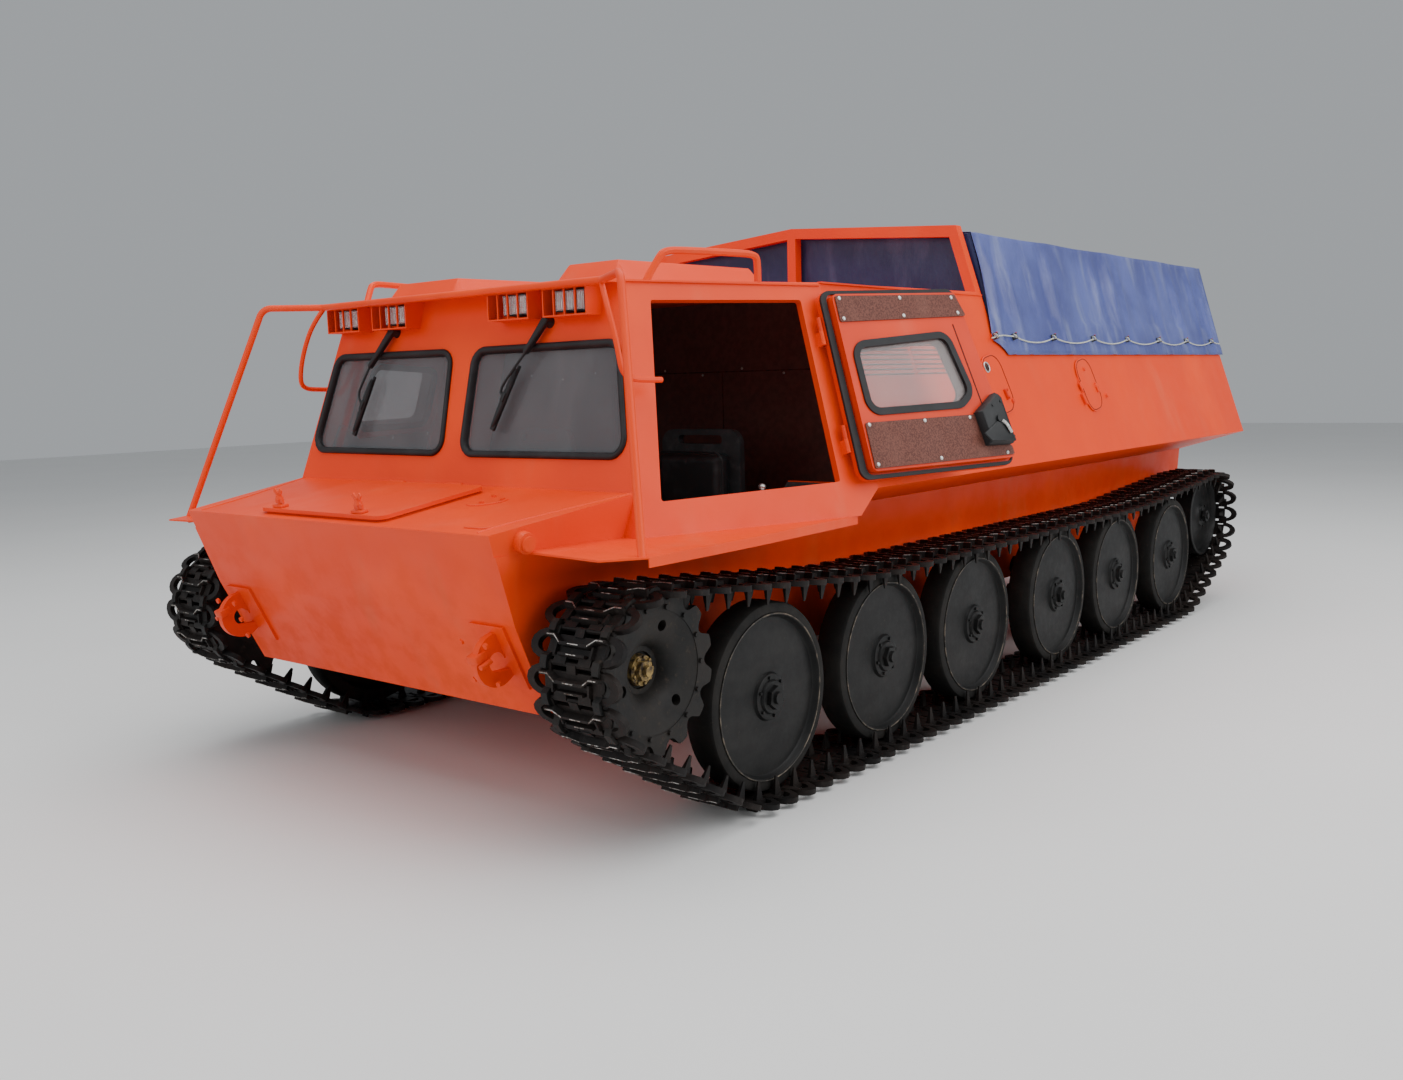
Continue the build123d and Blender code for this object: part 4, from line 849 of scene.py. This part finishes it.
# The folds of the hanging sides: station, height and width
FOLDS = ((3010, 17, 34), (3105, -12, 40), (3215, 13, 46), (3480, 11, 60), (3610, -9, 46), (3700, 12, 50),
         (4290, 15, 52), (4400, -11, 44), (4500, 14, 50), (4640, 10, 60), (5180, 10, 70), (5470, -10, 50),
         (5560, 13, 56), (5850, 14, 46), (5940, -11, 40), (6040, 15, 46))


def canopy_point(across, s):
    """A point of the cover, from the distance across it from the ridge and its station."""
    side = 1 if across >= 0 else -1
    run = abs(across)
    before = max(b for b in (TARP_START,) + BOWS if b <= s)
    after = min(b for b in BOWS + (TARP_END + 1,) if b > s)
    slack = math.sin(math.pi * (s - before) / (after - before))
    wobble = noise.noise(Vector((s * 0.0035, run * 0.0012, side * 3.1)))
    fine = noise.noise(Vector((s * 0.011, run * 0.0028, side * 7.7)))
    # On the roof the cloth sags between two bows
    if run <= top_run:
        share = run / top_run
        x = EAVE[0] * share
        z = RIDGE + (EAVE[1] - RIDGE) * share
        sag = slack * (26 * math.sin(math.pi * share) + 4)
        sag += 3 * fine * math.sin(math.pi * min(1, share * 1.4))
        return side * (x - 2), s, z - 2 - sag
    # Down a side it hangs in folds, is drawn in at each ring and ends in a doubled hem
    share = (run - top_run) / side_run
    hang = math.sin(math.pi * share ** 0.75)
    folds = (9 * wobble + 6 * fine) * (0.25 + hang)
    for centre, depth, width in FOLDS:
        lean = centre + (side * 20 - 30) * (share - 0.5)
        swell = 1.35 * depth * math.exp(-((s - lean) / (0.72 * width)) ** 2)
        folds += swell * min(1, share * 3.2) * (1 - 0.55 * share)
    # Its front edge leans forwards going down, and the lowest corner is turned back
    lead = max(0.0, 1 - (s - TARP_START) / 420)
    forward = -58 * min(1.0, max(0.0, (share - 0.25) / 0.6)) ** 1.5
    corner = 74 * min(1.0, max(0.0, (share - 0.905) / 0.02)) + 42 * max(0.0, (share - 0.925) / 0.075)
    pull = min(abs(s - ring) for ring in RINGS)
    folds -= 6 * math.exp(-(pull / 55) ** 2) * share ** 3
    hem = 3.0 if share > 0.915 else 0.0
    out = 2 - slack * 10 * hang + folds + hem
    if share > 0.70:
        out = max(out, 3.0 + hem)
    slope_x = (EAVE[1] - HEM[1]) / side_run
    slope_z = (HEM[0] - EAVE[0]) / side_run
    x = EAVE[0] + (HEM[0] - EAVE[0]) * share + (out - 6) * slope_x
    z = EAVE[1] + (HEM[1] - EAVE[1]) * share + (out - 6) * slope_z - slack * 4 * (1 - share)
    if share > 0.86:
        x = max(x, EAVE[0] + (HEM[0] - EAVE[0]) * share - 12)
    return side * min(x, HEM[0] + 4), s + (forward + corner) * lead, z


cover = bmesh.new()
COLUMNS = 132
ROWS = 216
bmesh.ops.create_grid(cover, x_segments=COLUMNS, y_segments=ROWS, size=1)
for vert in cover.verts:
    across = vert.co.x * half_width
    s = TARP_START + (vert.co.y + 1) / 2 * (TARP_END - TARP_START)
    vert.co = canopy_point(across, s)
cover_piece = piece("cargo_cover", cover, tarp_cloth, replaces=["tarp"], smooth=180)


def end_wall(s, bottom, bulge, name):
    """An end of the cover: the cloth is folded down from the roof edge and pulled to the walls."""
    bm = bmesh.new()
    bmesh.ops.create_grid(bm, x_segments=90, y_segments=40, size=1)
    for vert in bm.verts:
        u = vert.co.x
        v = (vert.co.y + 1) / 2
        top = RIDGE + (EAVE[1] - RIDGE) * abs(u) - 4
        z = bottom + (top - bottom) * v
        drop = (EAVE[1] - z) / (EAVE[1] - HEM[1])
        half = EAVE[0] + (HEM[0] - EAVE[0]) * max(0.0, drop) - 9
        fold = noise.noise(Vector((u * 3.2, v * 1.1, s * 0.01))) * 16 * math.sin(math.pi * min(1, v + 0.05))
        diagonal = 6 * math.sin(9 * abs(u) + 7 * v) * (1 - v) * abs(u)
        edge = min(1.0, (1 - abs(u)) * 14, (1 - v) * 14)
        vert.co = (u * half, s + bulge * (fold + diagonal) * edge, z)
    # The end cloth is the tarpaulin darkened as painted shade.
    return piece(name, bm, tarp_shaded, replaces=["tarp"], smooth=180)


front_wall = end_wall(TARP_START + 3, 1725, 0.6, "cover_front")
rear_wall = end_wall(TARP_END - 3, HEM[1] + 4, 0.6, "cover_rear")
for sheet_piece in (cover_piece, front_wall, rear_wall):
    solid = sheet_piece.modifiers.new("thickness", "SOLIDIFY")
    solid.thickness = 0.0016
    solid.offset = 0


# Frames on the body's own leaning plates
def plate_frame(origin, right, out):
    """Axes on a plate: right along it, up along it, and out of it."""
    out = Vector(out).normalized()
    right = Vector(right)
    right = (right - out * right.dot(out)).normalized()
    up = out.cross(right)
    return Matrix.Translation(origin) @ Matrix((right, up, out)).transposed().to_4x4()


def on_side(s, z, turn=0.0):
    """A frame on the left side wall: x back, y up, z outwards, turned by degrees."""
    frame_here = plate_frame((EDGE_X - SIDE_LEAN * (z - EDGE_Z), s, z), (0, 1, 0), (1, 0, SIDE_LEAN))
    return frame_here @ Matrix.Rotation(math.radians(turn), 4, "Z")


CAB_TOE_IN = 0.312
CAB_BREAK = 1563


def on_door(angle):
    """A door's frame: x forward along it from the hinge, y up, z out of it when shut."""
    s, z = 1450, 1205
    hinge = Vector((EDGE_X + CAB_TOE_IN * (s - CAB_BREAK) - SIDE_LEAN * (z - EDGE_Z), s, z))
    closed = plate_frame(hinge, (0.29202, 0.95622, 0.01922), (1, -CAB_TOE_IN, SIDE_LEAN))
    pivot = Matrix.Translation((0, 0, 30))
    return closed @ pivot @ Matrix.Rotation(angle, 4, "Y") @ pivot.inverted()


SCREEN = plate_frame((0, 593, 1233), (1, 0, 0), (0, -1, 0.224))
DECK = plate_frame((0, 0, 1045), (1, 0, 0), (0, -0.1456, 1))
DOORS = (("left", Matrix(), math.pi), ("right", MIRRORED, 0.0))


def peg(bm, matrix, radius, depth, segments=16, top=None):
    """A round peg that stands on a frame's face."""
    bmesh.ops.create_cone(bm, cap_ends=True, segments=segments, radius1=radius, depth=depth,
                          radius2=radius if top is None else top,
                          matrix=matrix @ Matrix.Translation((0, 0, depth / 2)))


def domed(bm, matrix, radius, flat=0.45):
    bmesh.ops.create_uvsphere(bm, u_segments=14, v_segments=8, radius=radius,
                              matrix=matrix @ Matrix.Diagonal((1, 1, flat, 1)))


def slide(matrix, x, y, z=0.0):
    return matrix @ Matrix.Translation((x, y, z))


def rod_into(bm, points, radius, cyclic=False):
    """Adds a round rod along a smooth line through a frame's points."""
    curve = bpy.data.curves.new("rod", "CURVE")
    curve.dimensions = "3D"
    curve.bevel_depth = radius
    curve.bevel_resolution = 2
    curve.resolution_u = 5
    curve.use_fill_caps = True
    spline = curve.splines.new("NURBS")
    spline.points.add(len(points) - 1)
    for point, co in zip(spline.points, points):
        point.co = (*co, 1)
    spline.order_u = 3
    spline.use_cyclic_u = cyclic
    spline.use_endpoint_u = not cyclic
    obj = bpy.data.objects.new("rod", curve)
    scene.collection.objects.link(obj)
    mesh = bpy.data.meshes.new_from_object(obj.evaluated_get(bpy.context.evaluated_depsgraph_get()))
    bm.from_mesh(mesh)
    bpy.data.meshes.remove(mesh)
    bpy.data.objects.remove(obj)


def ring_at(matrix, radius, count=10, across=1.0):
    return [matrix @ Vector((radius * math.cos(2 * math.pi * i / count),
                             across * radius * math.sin(2 * math.pi * i / count), 0)) for i in range(count)]


def both_sides(bm):
    """Adds the mirror image of everything in a bmesh."""
    source = bm.copy()
    copy_into(bm, source, MIRRORED)
    source.free()


def rounded(corners, inset, radius, steps=6):
    """A closed outline with round corners, set in from a convex shape that runs either way round."""
    turning = sum(a[0] * b[1] - b[0] * a[1] for a, b in zip(corners, corners[1:] + corners[:1]))
    inward = 1 if turning > 0 else -1
    outline = []
    for before, corner, after in zip(corners[-1:] + corners[:-1], corners, corners[1:] + corners[:1]):
        come = (Vector(corner) - Vector(before)).normalized()
        leave = (Vector(after) - Vector(corner)).normalized()
        first = Vector((-come.y, come.x)) * inward
        second = Vector((-leave.y, leave.x)) * inward
        middle = (first + second).normalized()
        centre = Vector(corner) + middle * (inset + radius) / middle.dot(first)
        for step in range(steps + 1):
            outline.append(centre - first.lerp(second, step / steps).normalized() * radius)
    return outline


def outline_edges(bm, outline, height):
    verts = [bm.verts.new((co[0], co[1], height)) for co in outline]
    return [bm.edges.new((verts[i - 1], verts[i])) for i in range(len(verts))]


def lofted(bm, matrix, layers, caps=()):
    """Bridges outlines, each given with its height, and caps those that caps names."""
    shape = bmesh.new()
    for first, second in zip(layers, layers[1:]):
        band = bmesh.new()
        bmesh.ops.bridge_loops(band, edges=outline_edges(band, *first) + outline_edges(band, *second))
        copy_into(shape, band, Matrix())
        band.free()
    for index in caps:
        bmesh.ops.edgeloop_fill(shape, edges=outline_edges(shape, *layers[index]))
    bmesh.ops.remove_doubles(shape, verts=shape.verts, dist=0.01)
    bmesh.ops.recalc_face_normals(shape, faces=shape.faces)
    copy_into(bm, shape, matrix)
    shape.free()


def flat_part(bm, matrix, corners, radius, layers):
    """Adds a flat part of one outline. Each layer is an inset and a height."""
    outlines = [(rounded(corners, inset, radius, 3), height) for inset, height in layers]
    lofted(bm, matrix, outlines, (0, -1))


# Rubber gaskets of the windscreens, with a rounded face and a thin inner lip
PANE = [(816, 421), (917, 1), (47, -2), (56, 418)]
gasket_section = ((1, 0), (0, 4), (3, 9), (9, 11.5), (17, 11), (23, 6), (27, -2), (27, -15), (16, -15),
                  (16, 0), (1, 0))
gaskets = bmesh.new()
for side in BOTH:
    gasket = bmesh.new()
    outlines = [(rounded(PANE, inset, 70 - inset), height) for inset, height in gasket_section]
    lofted(gasket, Matrix(), outlines)
    copy_into(gaskets, gasket, side @ SCREEN)
piece("windscreen_gaskets", gaskets, rubber, replaces=["windscreen_seals"], smooth=50)

# Roof rails and the bent grab handles beside the windscreens
rails = bmesh.new()
rod_into(rails, [(806, 832, 1842), (828, 874, 1918), (838, 897, 1947), (868, 985, 1950), (920, 1195, 1950),
                 (943, 1281, 1948), (946, 1297, 1924), (942, 1300, 1842)], 13.5)
rod_into(rails, [(800, 616, 1829), (838, 590, 1775), (880, 574, 1690), (912, 566, 1600), (925, 566, 1528),
                 (936, 598, 1504), (950, 660, 1500), (959, 724, 1499)], 10)
both_sides(rails)
piece("roof_rails_and_grabs", rails, paint, replaces=["grab_rails"])

# Screws of the door's lining boards, the lock cover's boss and its lever
screw_spots = [(-75, 580), (-379, 580), (-655, 580), (-75, 500), (-379, 508), (-672, 516),
               (-79, 86), (-359, 86), (-600, 84), (-79, -66), (-399, -66), (-760, -70)]
lock_base = ([(-746, 174), (-768, 150), (-793, -32), (-782, -40), (-648, -36), (-628, 100)],
             ((0, 20), (0, 46), (9, 62), (13, 64)))
lock_flap = ([(-700, 50), (-612, 4), (-642, -27), (-780, -36), (-762, 24)], ((0, 60), (0, 69), (3, 72)))
lock_bosses = ((-717, 60, 15, 10), (-748, 132, 6, 4), (-700, 118, 6, 4), (-768, -16, 6, 10))
lever = ((-722, 50, -74), (-730, 40, -80), (-742, 20, -80), (-753, -2, -78))
for name, mirror, angle in DOORS:
    door = mirror @ on_door(angle)
    heads = bmesh.new()
    for back, up in screw_spots:
        domed(heads, slide(door, back, up, -27), 8)
    rod_into(heads, [door @ Vector(spot) for spot in lever], 6.5)
    piece("lining_screws_" + name, heads, screw_finish, body="door_" + name)
    cover = bmesh.new()
    inward = door @ Matrix.Diagonal((1, 1, -1, 1))
    for corners, layers in (lock_base, lock_flap):
        flat_part(cover, inward, corners, 5, layers)
    for back, up, radius, depth in lock_bosses:
        peg(cover, slide(inward, back, up, 63), radius, depth, 20)
    piece("lock_cover_" + name, cover, plastic, body="door_" + name,
          replaces=["door_" + name + "_lock"], smooth=30)
    # A thin dark strip on the door's lining is a painted shadow line, where the pan meets the raised rim.
    shadow_line = bmesh.new()
    top = door @ Vector((-634, 470, -20))
    stile = plate_frame(top, door @ Vector((-702, 60, -20)) - top, door.to_3x3() @ Vector((0, 0, -1)))
    box_part(shadow_line, 0, 416, -2.5, 2.5, -1, 1.2, stile)
    piece("door_groove_" + name, shadow_line, seam_and_painted_shadow, body="door_" + name, smooth=0)

# Wipers: a thick tapered arm, a thin link and a framed blade on each pane
WIPERS = (((460, 492), (375, 378), (264, 236), (341, 336), (239, 102)),
          ((-426, 495), (-545, 352), (-594, 232), (-518, 316), (-604, 78)))
wipers = bmesh.new()
for pivot, elbow, link_end, blade_top, blade_foot in WIPERS:
    reach = math.dist(pivot, elbow)
    heading = math.atan2(elbow[1] - pivot[1], elbow[0] - pivot[0])
    swing = slide(SCREEN, *pivot) @ Matrix.Rotation(heading, 4, "Z")
    peg(wipers, swing, 21, 26, 20, 16)
    arm = [(-16, -15), (-16, 15), (reach, 8), (reach, -8)]
    flat_part(wipers, swing, arm, 5, ((0, 18), (0, 34), (3, 38)))
    halfway = [(elbow[i] + link_end[i]) / 2 for i in range(2)]
    middle = [(blade_top[i] + blade_foot[i]) / 2 for i in range(2)]
    rod_into(wipers, [SCREEN @ Vector(co) for co in ((*elbow, 28), (*halfway, 34), (*link_end, 34),
                                                     (*middle, 30))], 5)
    length = math.dist(blade_top, blade_foot)
    turn = math.atan2(blade_top[1] - blade_foot[1], blade_top[0] - blade_foot[0])
    blade = slide(SCREEN, *blade_foot) @ Matrix.Rotation(turn, 4, "Z")
    flat_part(wipers, blade, [(0, -6), (0, 6), (length, 5), (length, -5)], 3, ((0, 10), (0, 18), (2, 20)))
    spine = [(8, 7), (length * 0.3, 12), (length * 0.7, 12), (length - 14, 6)]
    flat_part(wipers, blade, [(x, -y) for x, y in spine] + spine[::-1], 3, ((0, 19), (0, 26), (4, 31)))
    box_part(wipers, length * 0.5 - 18, length * 0.5 + 18, -9, 9, 26, 36, blade, 3)
    box_part(wipers, -4, 20, -11, 11, 12, 24, blade, 3)
piece("wiper_set", wipers, plastic, replaces=["wipers"])

# Work lamps: a faceted reflector behind ribbed glass in each unit
LAMPS = ((-804, -587, 0.62), (-501, -280, 0.60), (199, 416, 0.60), (490, 707, 0.70))
LAMP_BAYS = 3
mirrors = bmesh.new()
lenses = bmesh.new()
for x0, x1, share in LAMPS:
    right_edge = x1 - 18
    left_edge = x1 - 12 - (x1 - x0) * share + 6
    step = (right_edge - left_edge) / LAMP_BAYS
    for bay in range(LAMP_BAYS):
        middle = left_edge + step * (bay + 0.5)
        box_part(mirrors, middle - step * 0.36, middle + step * 0.36, 644, 649, 1752, 1810, bevel=2)
    box_part(lenses, left_edge, right_edge, 641, 643.5, 1748, 1814)
piece("lamp_reflectors", mirrors, reflector, smooth=0)
piece("lamp_lenses", lenses, lens, smooth=0)

# Wing nuts on the bonnet hatch, its hinge leaves, and the small bolts and beads of the deck
nuts = bmesh.new()
for x in (-330, 150):
    clamp = slide(DECK, x, 68, 24)
    box_part(nuts, -30, 30, -16, 16, -2, 9, clamp, 3)
    peg(nuts, slide(clamp, 0, 0, 6), 8, 44, 12)
    peg(nuts, slide(clamp, 0, 0, 26), 15, 16, 12, 11)
    for lean in (-1, 1):
        wing = slide(clamp, 0, 0, 38) @ Matrix.Rotation(lean * 0.72, 4, "Y")
        box_part(nuts, -9, 9, -3, 3, 2, 34, wing, 2.5)
piece("hatch_wing_nuts", nuts, paint, body="bonnet_hatch")
fittings = bmesh.new()
for x in (-230, 110):
    box_part(fittings, -48, 48, 4, 34, 2, 7, slide(DECK, x, 520), 2)
    for offset in (-30, 30):
        domed(fittings, slide(DECK, x + offset, 541, 7), 6)
rod_into(fittings, [DECK @ Vector((x, y, 2)) for x, y in ((412, 318), (446, 300), (500, 330), (528, 372),
                                                          (516, 414))], 3.2)
for x, y in ((416, 438), (452, 350), (500, 404)):
    peg(fittings, slide(DECK, x, y, 0), 10, 8, 6)
rod_into(fittings, [DECK @ Vector((x, y, 2)) for x, y in ((700, 62), (740, 60), (800, 66), (806, 80))], 4)
# Weld beads where the deck meets its side walls, on both sides
weld = bmesh.new()
rod_into(weld, [(808, 20, 1048), (812, 140, 1066), (900, 430, 1106), (952, 588, 1130)], 3.5)
# Drip edge of the roof over the doors and along the body
for a, b in (((753, 655, 1843), (1031, 1563, 1853)), ((1031, 1563, 1853), (1026, 2902, 1868))):
    along = Vector(b) - Vector(a)
    box_part(weld, 0, along.length, -15, 4, -4, 2, plate_frame(a, along, (0, 0, 1)))
both_sides(weld)
copy_into(fittings, weld, Matrix())
# Bolts on the tow hooks' base plates and their catches
for mirror in BOTH:
    base = mirror @ plate_frame((750, 86, 628), (1, 0, 0), (0, -1, -0.36))
    for x, y in ((-80, 70), (-80, -70), (38, 70), (38, -70), (-80, 0)):
        peg(fittings, slide(base, x, y, 12), 11, 9, 6)
    box_part(fittings, -24, 24, -14, 14, 10, 58, slide(base, 0, 34), 4)
    peg(fittings, slide(base, 30, 12, 10), 9, 46, 12)
piece("deck_fittings", fittings, paint)

# Side flaps: an upright oblong lid with a seam and a hinge leaf, its bosses, and the flap's finger hole
LID = [(-103, -141), (-103, 141), (103, 141), (103, -141)]
FINGER_HOLE = on_side(2724, 1517)
for name, s, z in (("filler_flap", 3818, 1421), ("side_flap", 2790, 1440)):
    lean = on_side(s, z, 10)
    lid = bmesh.new()
    lofted(lid, lean, [(rounded(LID, inset, 80 - inset, 10), height)
                       for inset, height in ((0, 3.5), (0, 7), (1.5, 8.5))], (0, -1))
    box_part(lid, -122, -84, 12, 50, 7, 11, on_side(s, z, 20), 1.5)
    rod_into(lid, [on_side(s, z, 20) @ Vector((-120, y, 11)) for y in (10, 24, 38, 52)], 5)
    piece(name + "_lid", lid, wall_paint, body=name, replaces=[name], smooth=30)
    joint = bmesh.new()
    rod_into(joint, [lean @ Vector((co.x, co.y, 8.6)) for co in rounded(LID, 7, 73, 10)], 1.8, cyclic=True)
    piece(name + "_joint", joint, seam_and_painted_shadow, body=name)
bosses = bmesh.new()
for s, z, radius in ((3806, 1500, 12), (3890, 1410, 13)):
    peg(bosses, slide(on_side(s, z), 0, 0, 8), radius, 9, 16, radius * 0.85)
    domed(bosses, slide(on_side(s, z), 0, 0, 17), radius * 0.5)
box_part(bosses, -7, 7, -26, 26, 8, 18, on_side(3893, 1402, 12), 3)
piece("filler_bosses", bosses, paint, body="filler_flap")
pull = bmesh.new()
rod_into(pull, ring_at(slide(FINGER_HOLE, 0, 0, 10), 24), 3.4, cyclic=True)
piece("side_flap_rim", pull, screw_finish, body="side_flap")
# The finger hole's dark disc is painted shadow inside the hole.
dark = bmesh.new()
peg(dark, slide(FINGER_HOLE, 0, 0, 8), 22, 2, 24)
piece("side_flap_hole_shadow", dark, seam_and_painted_shadow, body="side_flap")
catch = bmesh.new()
box_part(catch, -8, 8, -26, 26, 7, 22, on_side(2832, 1392, 14), 4)
for z in (1410, 1374):
    peg(catch, slide(on_side(2833, z), 0, 0, 20), 6, 6, 6)
peg(catch, slide(on_side(2884, 1362), 0, 0, 8), 12, 8, 18, 10)
piece("side_flap_catch", catch, shaded_orange_paint, body="side_flap")

# Air louvres behind the left door: slats over dark strips of painted shadow in the slots
louvres = bmesh.new()
shades = bmesh.new()
for number in range(7):
    z = 1504 + 19.5 * number
    for s0, s1 in ((1680, 2085), (2105, 2510)):
        slope = on_side(s0, z)
        box_part(louvres, 0, s1 - s0, -3, 9, -2, 3, slope @ Matrix.Rotation(0.62, 4, "X"), 1)
        box_part(shades, 4, s1 - s0 - 4, -9, 1, 0.4, 1.6, slope)
piece("air_louvres", louvres, paint, smooth=0)
piece("louvre_slot_shadows", shades, seam_and_painted_shadow, smooth=0)
stud = bmesh.new()
peg(stud, on_side(4015, 1362), 16, 12, 18, 12)
piece("side_studs", stud, paint)

# Inside the cab: the joint of the rear boards with its screws, the corner board and the battery switch
boards = bmesh.new()
box_part(boards, -1010, 1010, 1848.4, 1851, 1527, 1532)
for x in (-330, 330):
    box_part(boards, x - 2, x + 2, 1848.4, 1851, 1010, 1527)
piece("board_joints", boards, seam_and_painted_shadow, smooth=0)
corner = bmesh.new()
gusset = plate_frame((0, 1450, 982), (1, 0, 0), (0, -0.832, 1))
box_part(corner, 882, 1240, -6, 146, 13, 17, gusset)
both_sides(corner)
piece("corner_boards", corner, mat, smooth=0)
heads = bmesh.new()
rear_board = plate_frame((0, 1849, 1530), (-1, 0, 0), (0, -1, 0))
for number in range(9):
    domed(heads, slide(rear_board, -880 + 220 * number, 12 if number % 2 else -12, 1), 6)
switch = Matrix.Translation((950, 1290, 994))
peg(heads, slide(switch, 0, 0, 60), 36, 7, 28)
peg(heads, slide(switch, 0, 0, 67), 20, 12, 6)
peg(heads, slide(switch, 0, 0, 79), 9, 18, 14)
domed(heads, slide(switch, 0, 0, 98), 15, 0.8)
piece("cab_screws", heads, screw_finish)
pillar = bmesh.new()
peg(pillar, switch, 28, 60, 24, 32)
piece("switch_housing", pillar, plastic)

# Lashing rope: threaded through the rings and hanging a little between them, with a turn round each ring
ROPE_RADIUS = 3.4
rope = bmesh.new()
strand = [(RINGS[0] - 40, 1646, 20)]
for first, second in zip(RINGS, RINGS[1:]):
    drop = -9 if first == RINGS[0] else 25
    for share, fall in ((0, -0.12), (0.2, 0.62), (0.5, 1.0), (0.8, 0.62)):
        strand.append((first + (second - first) * share, 1651 - drop * fall,
                       24 - 5 * math.sin(math.pi * share)))
strand += [(RINGS[-1], 1653, 24), (6040, 1644, 20), (6121, 1640, 22)]
rod_into(rope, [on_side(s, z) @ Vector((0, 0, out)) for s, z, out in strand], ROPE_RADIUS)
for s in RINGS:
    slant = Matrix.Rotation(0.5, 4, "Z") @ Matrix.Rotation(0.9, 4, "Y")
    rod_into(rope, ring_at(slide(on_side(s, 1655), 0, 0, 24) @ slant, 15, 8, 0.8), ROPE_RADIUS, cyclic=True)
both_sides(rope)
piece("lashing_rope", rope, cord_finish, replaces=["tarp_rope"])


# Seat cushions: foam blown up a little by the cloth solver, then piped round the edge
def blow_up(obj, low, high, cap):
    """Blows a cushion up. No point moves further than the cap or leaves the box from low to high."""
    before = [vert.co.copy() for vert in obj.data.vertices]
    cloth = obj.modifiers.new("cloth", "CLOTH")
    cloth.settings.quality = 5
    cloth.settings.use_pressure = True
    cloth.settings.uniform_pressure_force = 4
    cloth.settings.effector_weights.gravity = 0
    for number in range(1, 15):
        scene.frame_set(number)
    bpy.ops.object.modifier_apply(modifier=cloth.name)
    scene.frame_set(1)
    for vert, old in zip(obj.data.vertices, before):
        move = vert.co - old
        if move.length > cap / 1000:
            vert.co = old + move.normalized() * cap / 1000
        spot = (vert.co - at(0, 0, 0)) * 1000
        vert.co = at(*[min(max(value, least), most) for value, least, most in zip(spot, low, high)])
    smooth = obj.modifiers.new("smooth", "SUBSURF")
    smooth.levels = 1
    smooth.render_levels = 1


def cushion(name, x0, x1, s0, s1, z0, z1, cap):
    bm = bmesh.new()
    box_part(bm, x0 + cap, x1 - cap, s0 + cap * 0.7, s1 - cap * 0.3, z0 + cap * 0.3, z1 - cap, bevel=26)
    obj = piece(name, bm, vinyl, replaces=["seat_pads"], smooth=180)
    remesh = obj.modifiers.new("remesh", "REMESH")
    remesh.mode = "VOXEL"
    remesh.voxel_size = 0.009
    remesh.use_smooth_shade = True
    bpy.context.view_layer.objects.active = obj
    bpy.ops.object.modifier_apply(modifier=remesh.name)
    blow_up(obj, (x0, s0, z0), (x1, s1, z1), cap)


SEAT_TOP = (Matrix.Translation((0, 0, 893)), 184, 1042, 1398)
SEAT_FRONT = (plate_frame((0, 1424, 0), (1, 0, 0), (0, -1, 0)), 174, 826, 1208)
for side, centre in (("left", 480), ("right", -480)):
    cushion("seat_cushion_" + side, centre - 195, centre + 195, 1032, 1408, 811, 908, 13)
    cushion("seat_back_" + side, centre - 185, centre + 185, 1412, 1498, 812, 1222, 11)
    piping = bmesh.new()
    for face, half, low, high in (SEAT_TOP, SEAT_FRONT):
        corners = [(centre - half, low), (centre + half, low), (centre + half, high), (centre - half, high)]
        outline = rounded(corners, 0, 40, 5)
        rod_into(piping, [face @ Vector((co.x, co.y, 0)) for co in outline], 3.5, cyclic=True)
    piece("seat_piping_" + side, piping, vinyl)

# Floor, light and camera
bpy.ops.mesh.primitive_plane_add(size=60, location=(0, 0, -0.001))
ground = bpy.context.object
ground.name = "floor"
pale = Finish("pale floor", (0.74, 0.74, 0.73), 0.75)
pale.set("Base Color", pale.blend(pale.noise(0.6, 4), (0.74, 0.74, 0.73), (0.79, 0.79, 0.78)))
ground.data.materials.append(pale.material)

world = bpy.data.worlds.new("studio")
world.use_nodes = True
world.node_tree.nodes["Background"].inputs[0].default_value = (0.80, 0.84, 0.88, 1)
world.node_tree.nodes["Background"].inputs[1].default_value = 0.48
scene.world = world


def soft_light(name, place_at, look_at, size, power):
    light = bpy.data.lights.new(name, "AREA")
    light.shape = "RECTANGLE"
    light.size, light.size_y = size
    light.energy = power
    obj = bpy.data.objects.new(name, light)
    obj.location = place_at
    obj.rotation_euler = (Vector(look_at) - Vector(place_at)).to_track_quat("-Z", "Y").to_euler()
    scene.collection.objects.link(obj)


soft_light("overhead", (1.0, -1.0, 9.0), (0, 0, 0), (12, 12), 1050)
soft_light("left side", (9.0, 1.0, 5.0), (0, 0.5, 1.0), (9, 6), 500)
soft_light("front", (-2.0, -11.0, 4.5), (0, 0, 1.0), (8, 5), 260)

camera_data = bpy.data.cameras.new("camera")
camera_data.lens = 31.98
camera_data.sensor_width = 36
camera_data.clip_end = 200
camera = bpy.data.objects.new("camera", camera_data)
YAW, PITCH_DOWN, ROLL = 0.6894, 0.1259, -0.0269
level = math.cos(PITCH_DOWN)
forward = Vector((-math.sin(YAW) * level, math.cos(YAW) * level, -math.sin(PITCH_DOWN)))
right = forward.cross(Vector((0, 0, 1))).normalized()
up = right.cross(forward)
right_rolled = math.cos(ROLL) * right + math.sin(ROLL) * up
up_rolled = -math.sin(ROLL) * right + math.cos(ROLL) * up
pose = Matrix((right_rolled, up_rolled, -forward)).transposed().to_4x4()
pose.translation = at(3743.1, -2464.9, 1487.4)
camera.matrix_world = pose
scene.collection.objects.link(camera)
scene.camera = camera
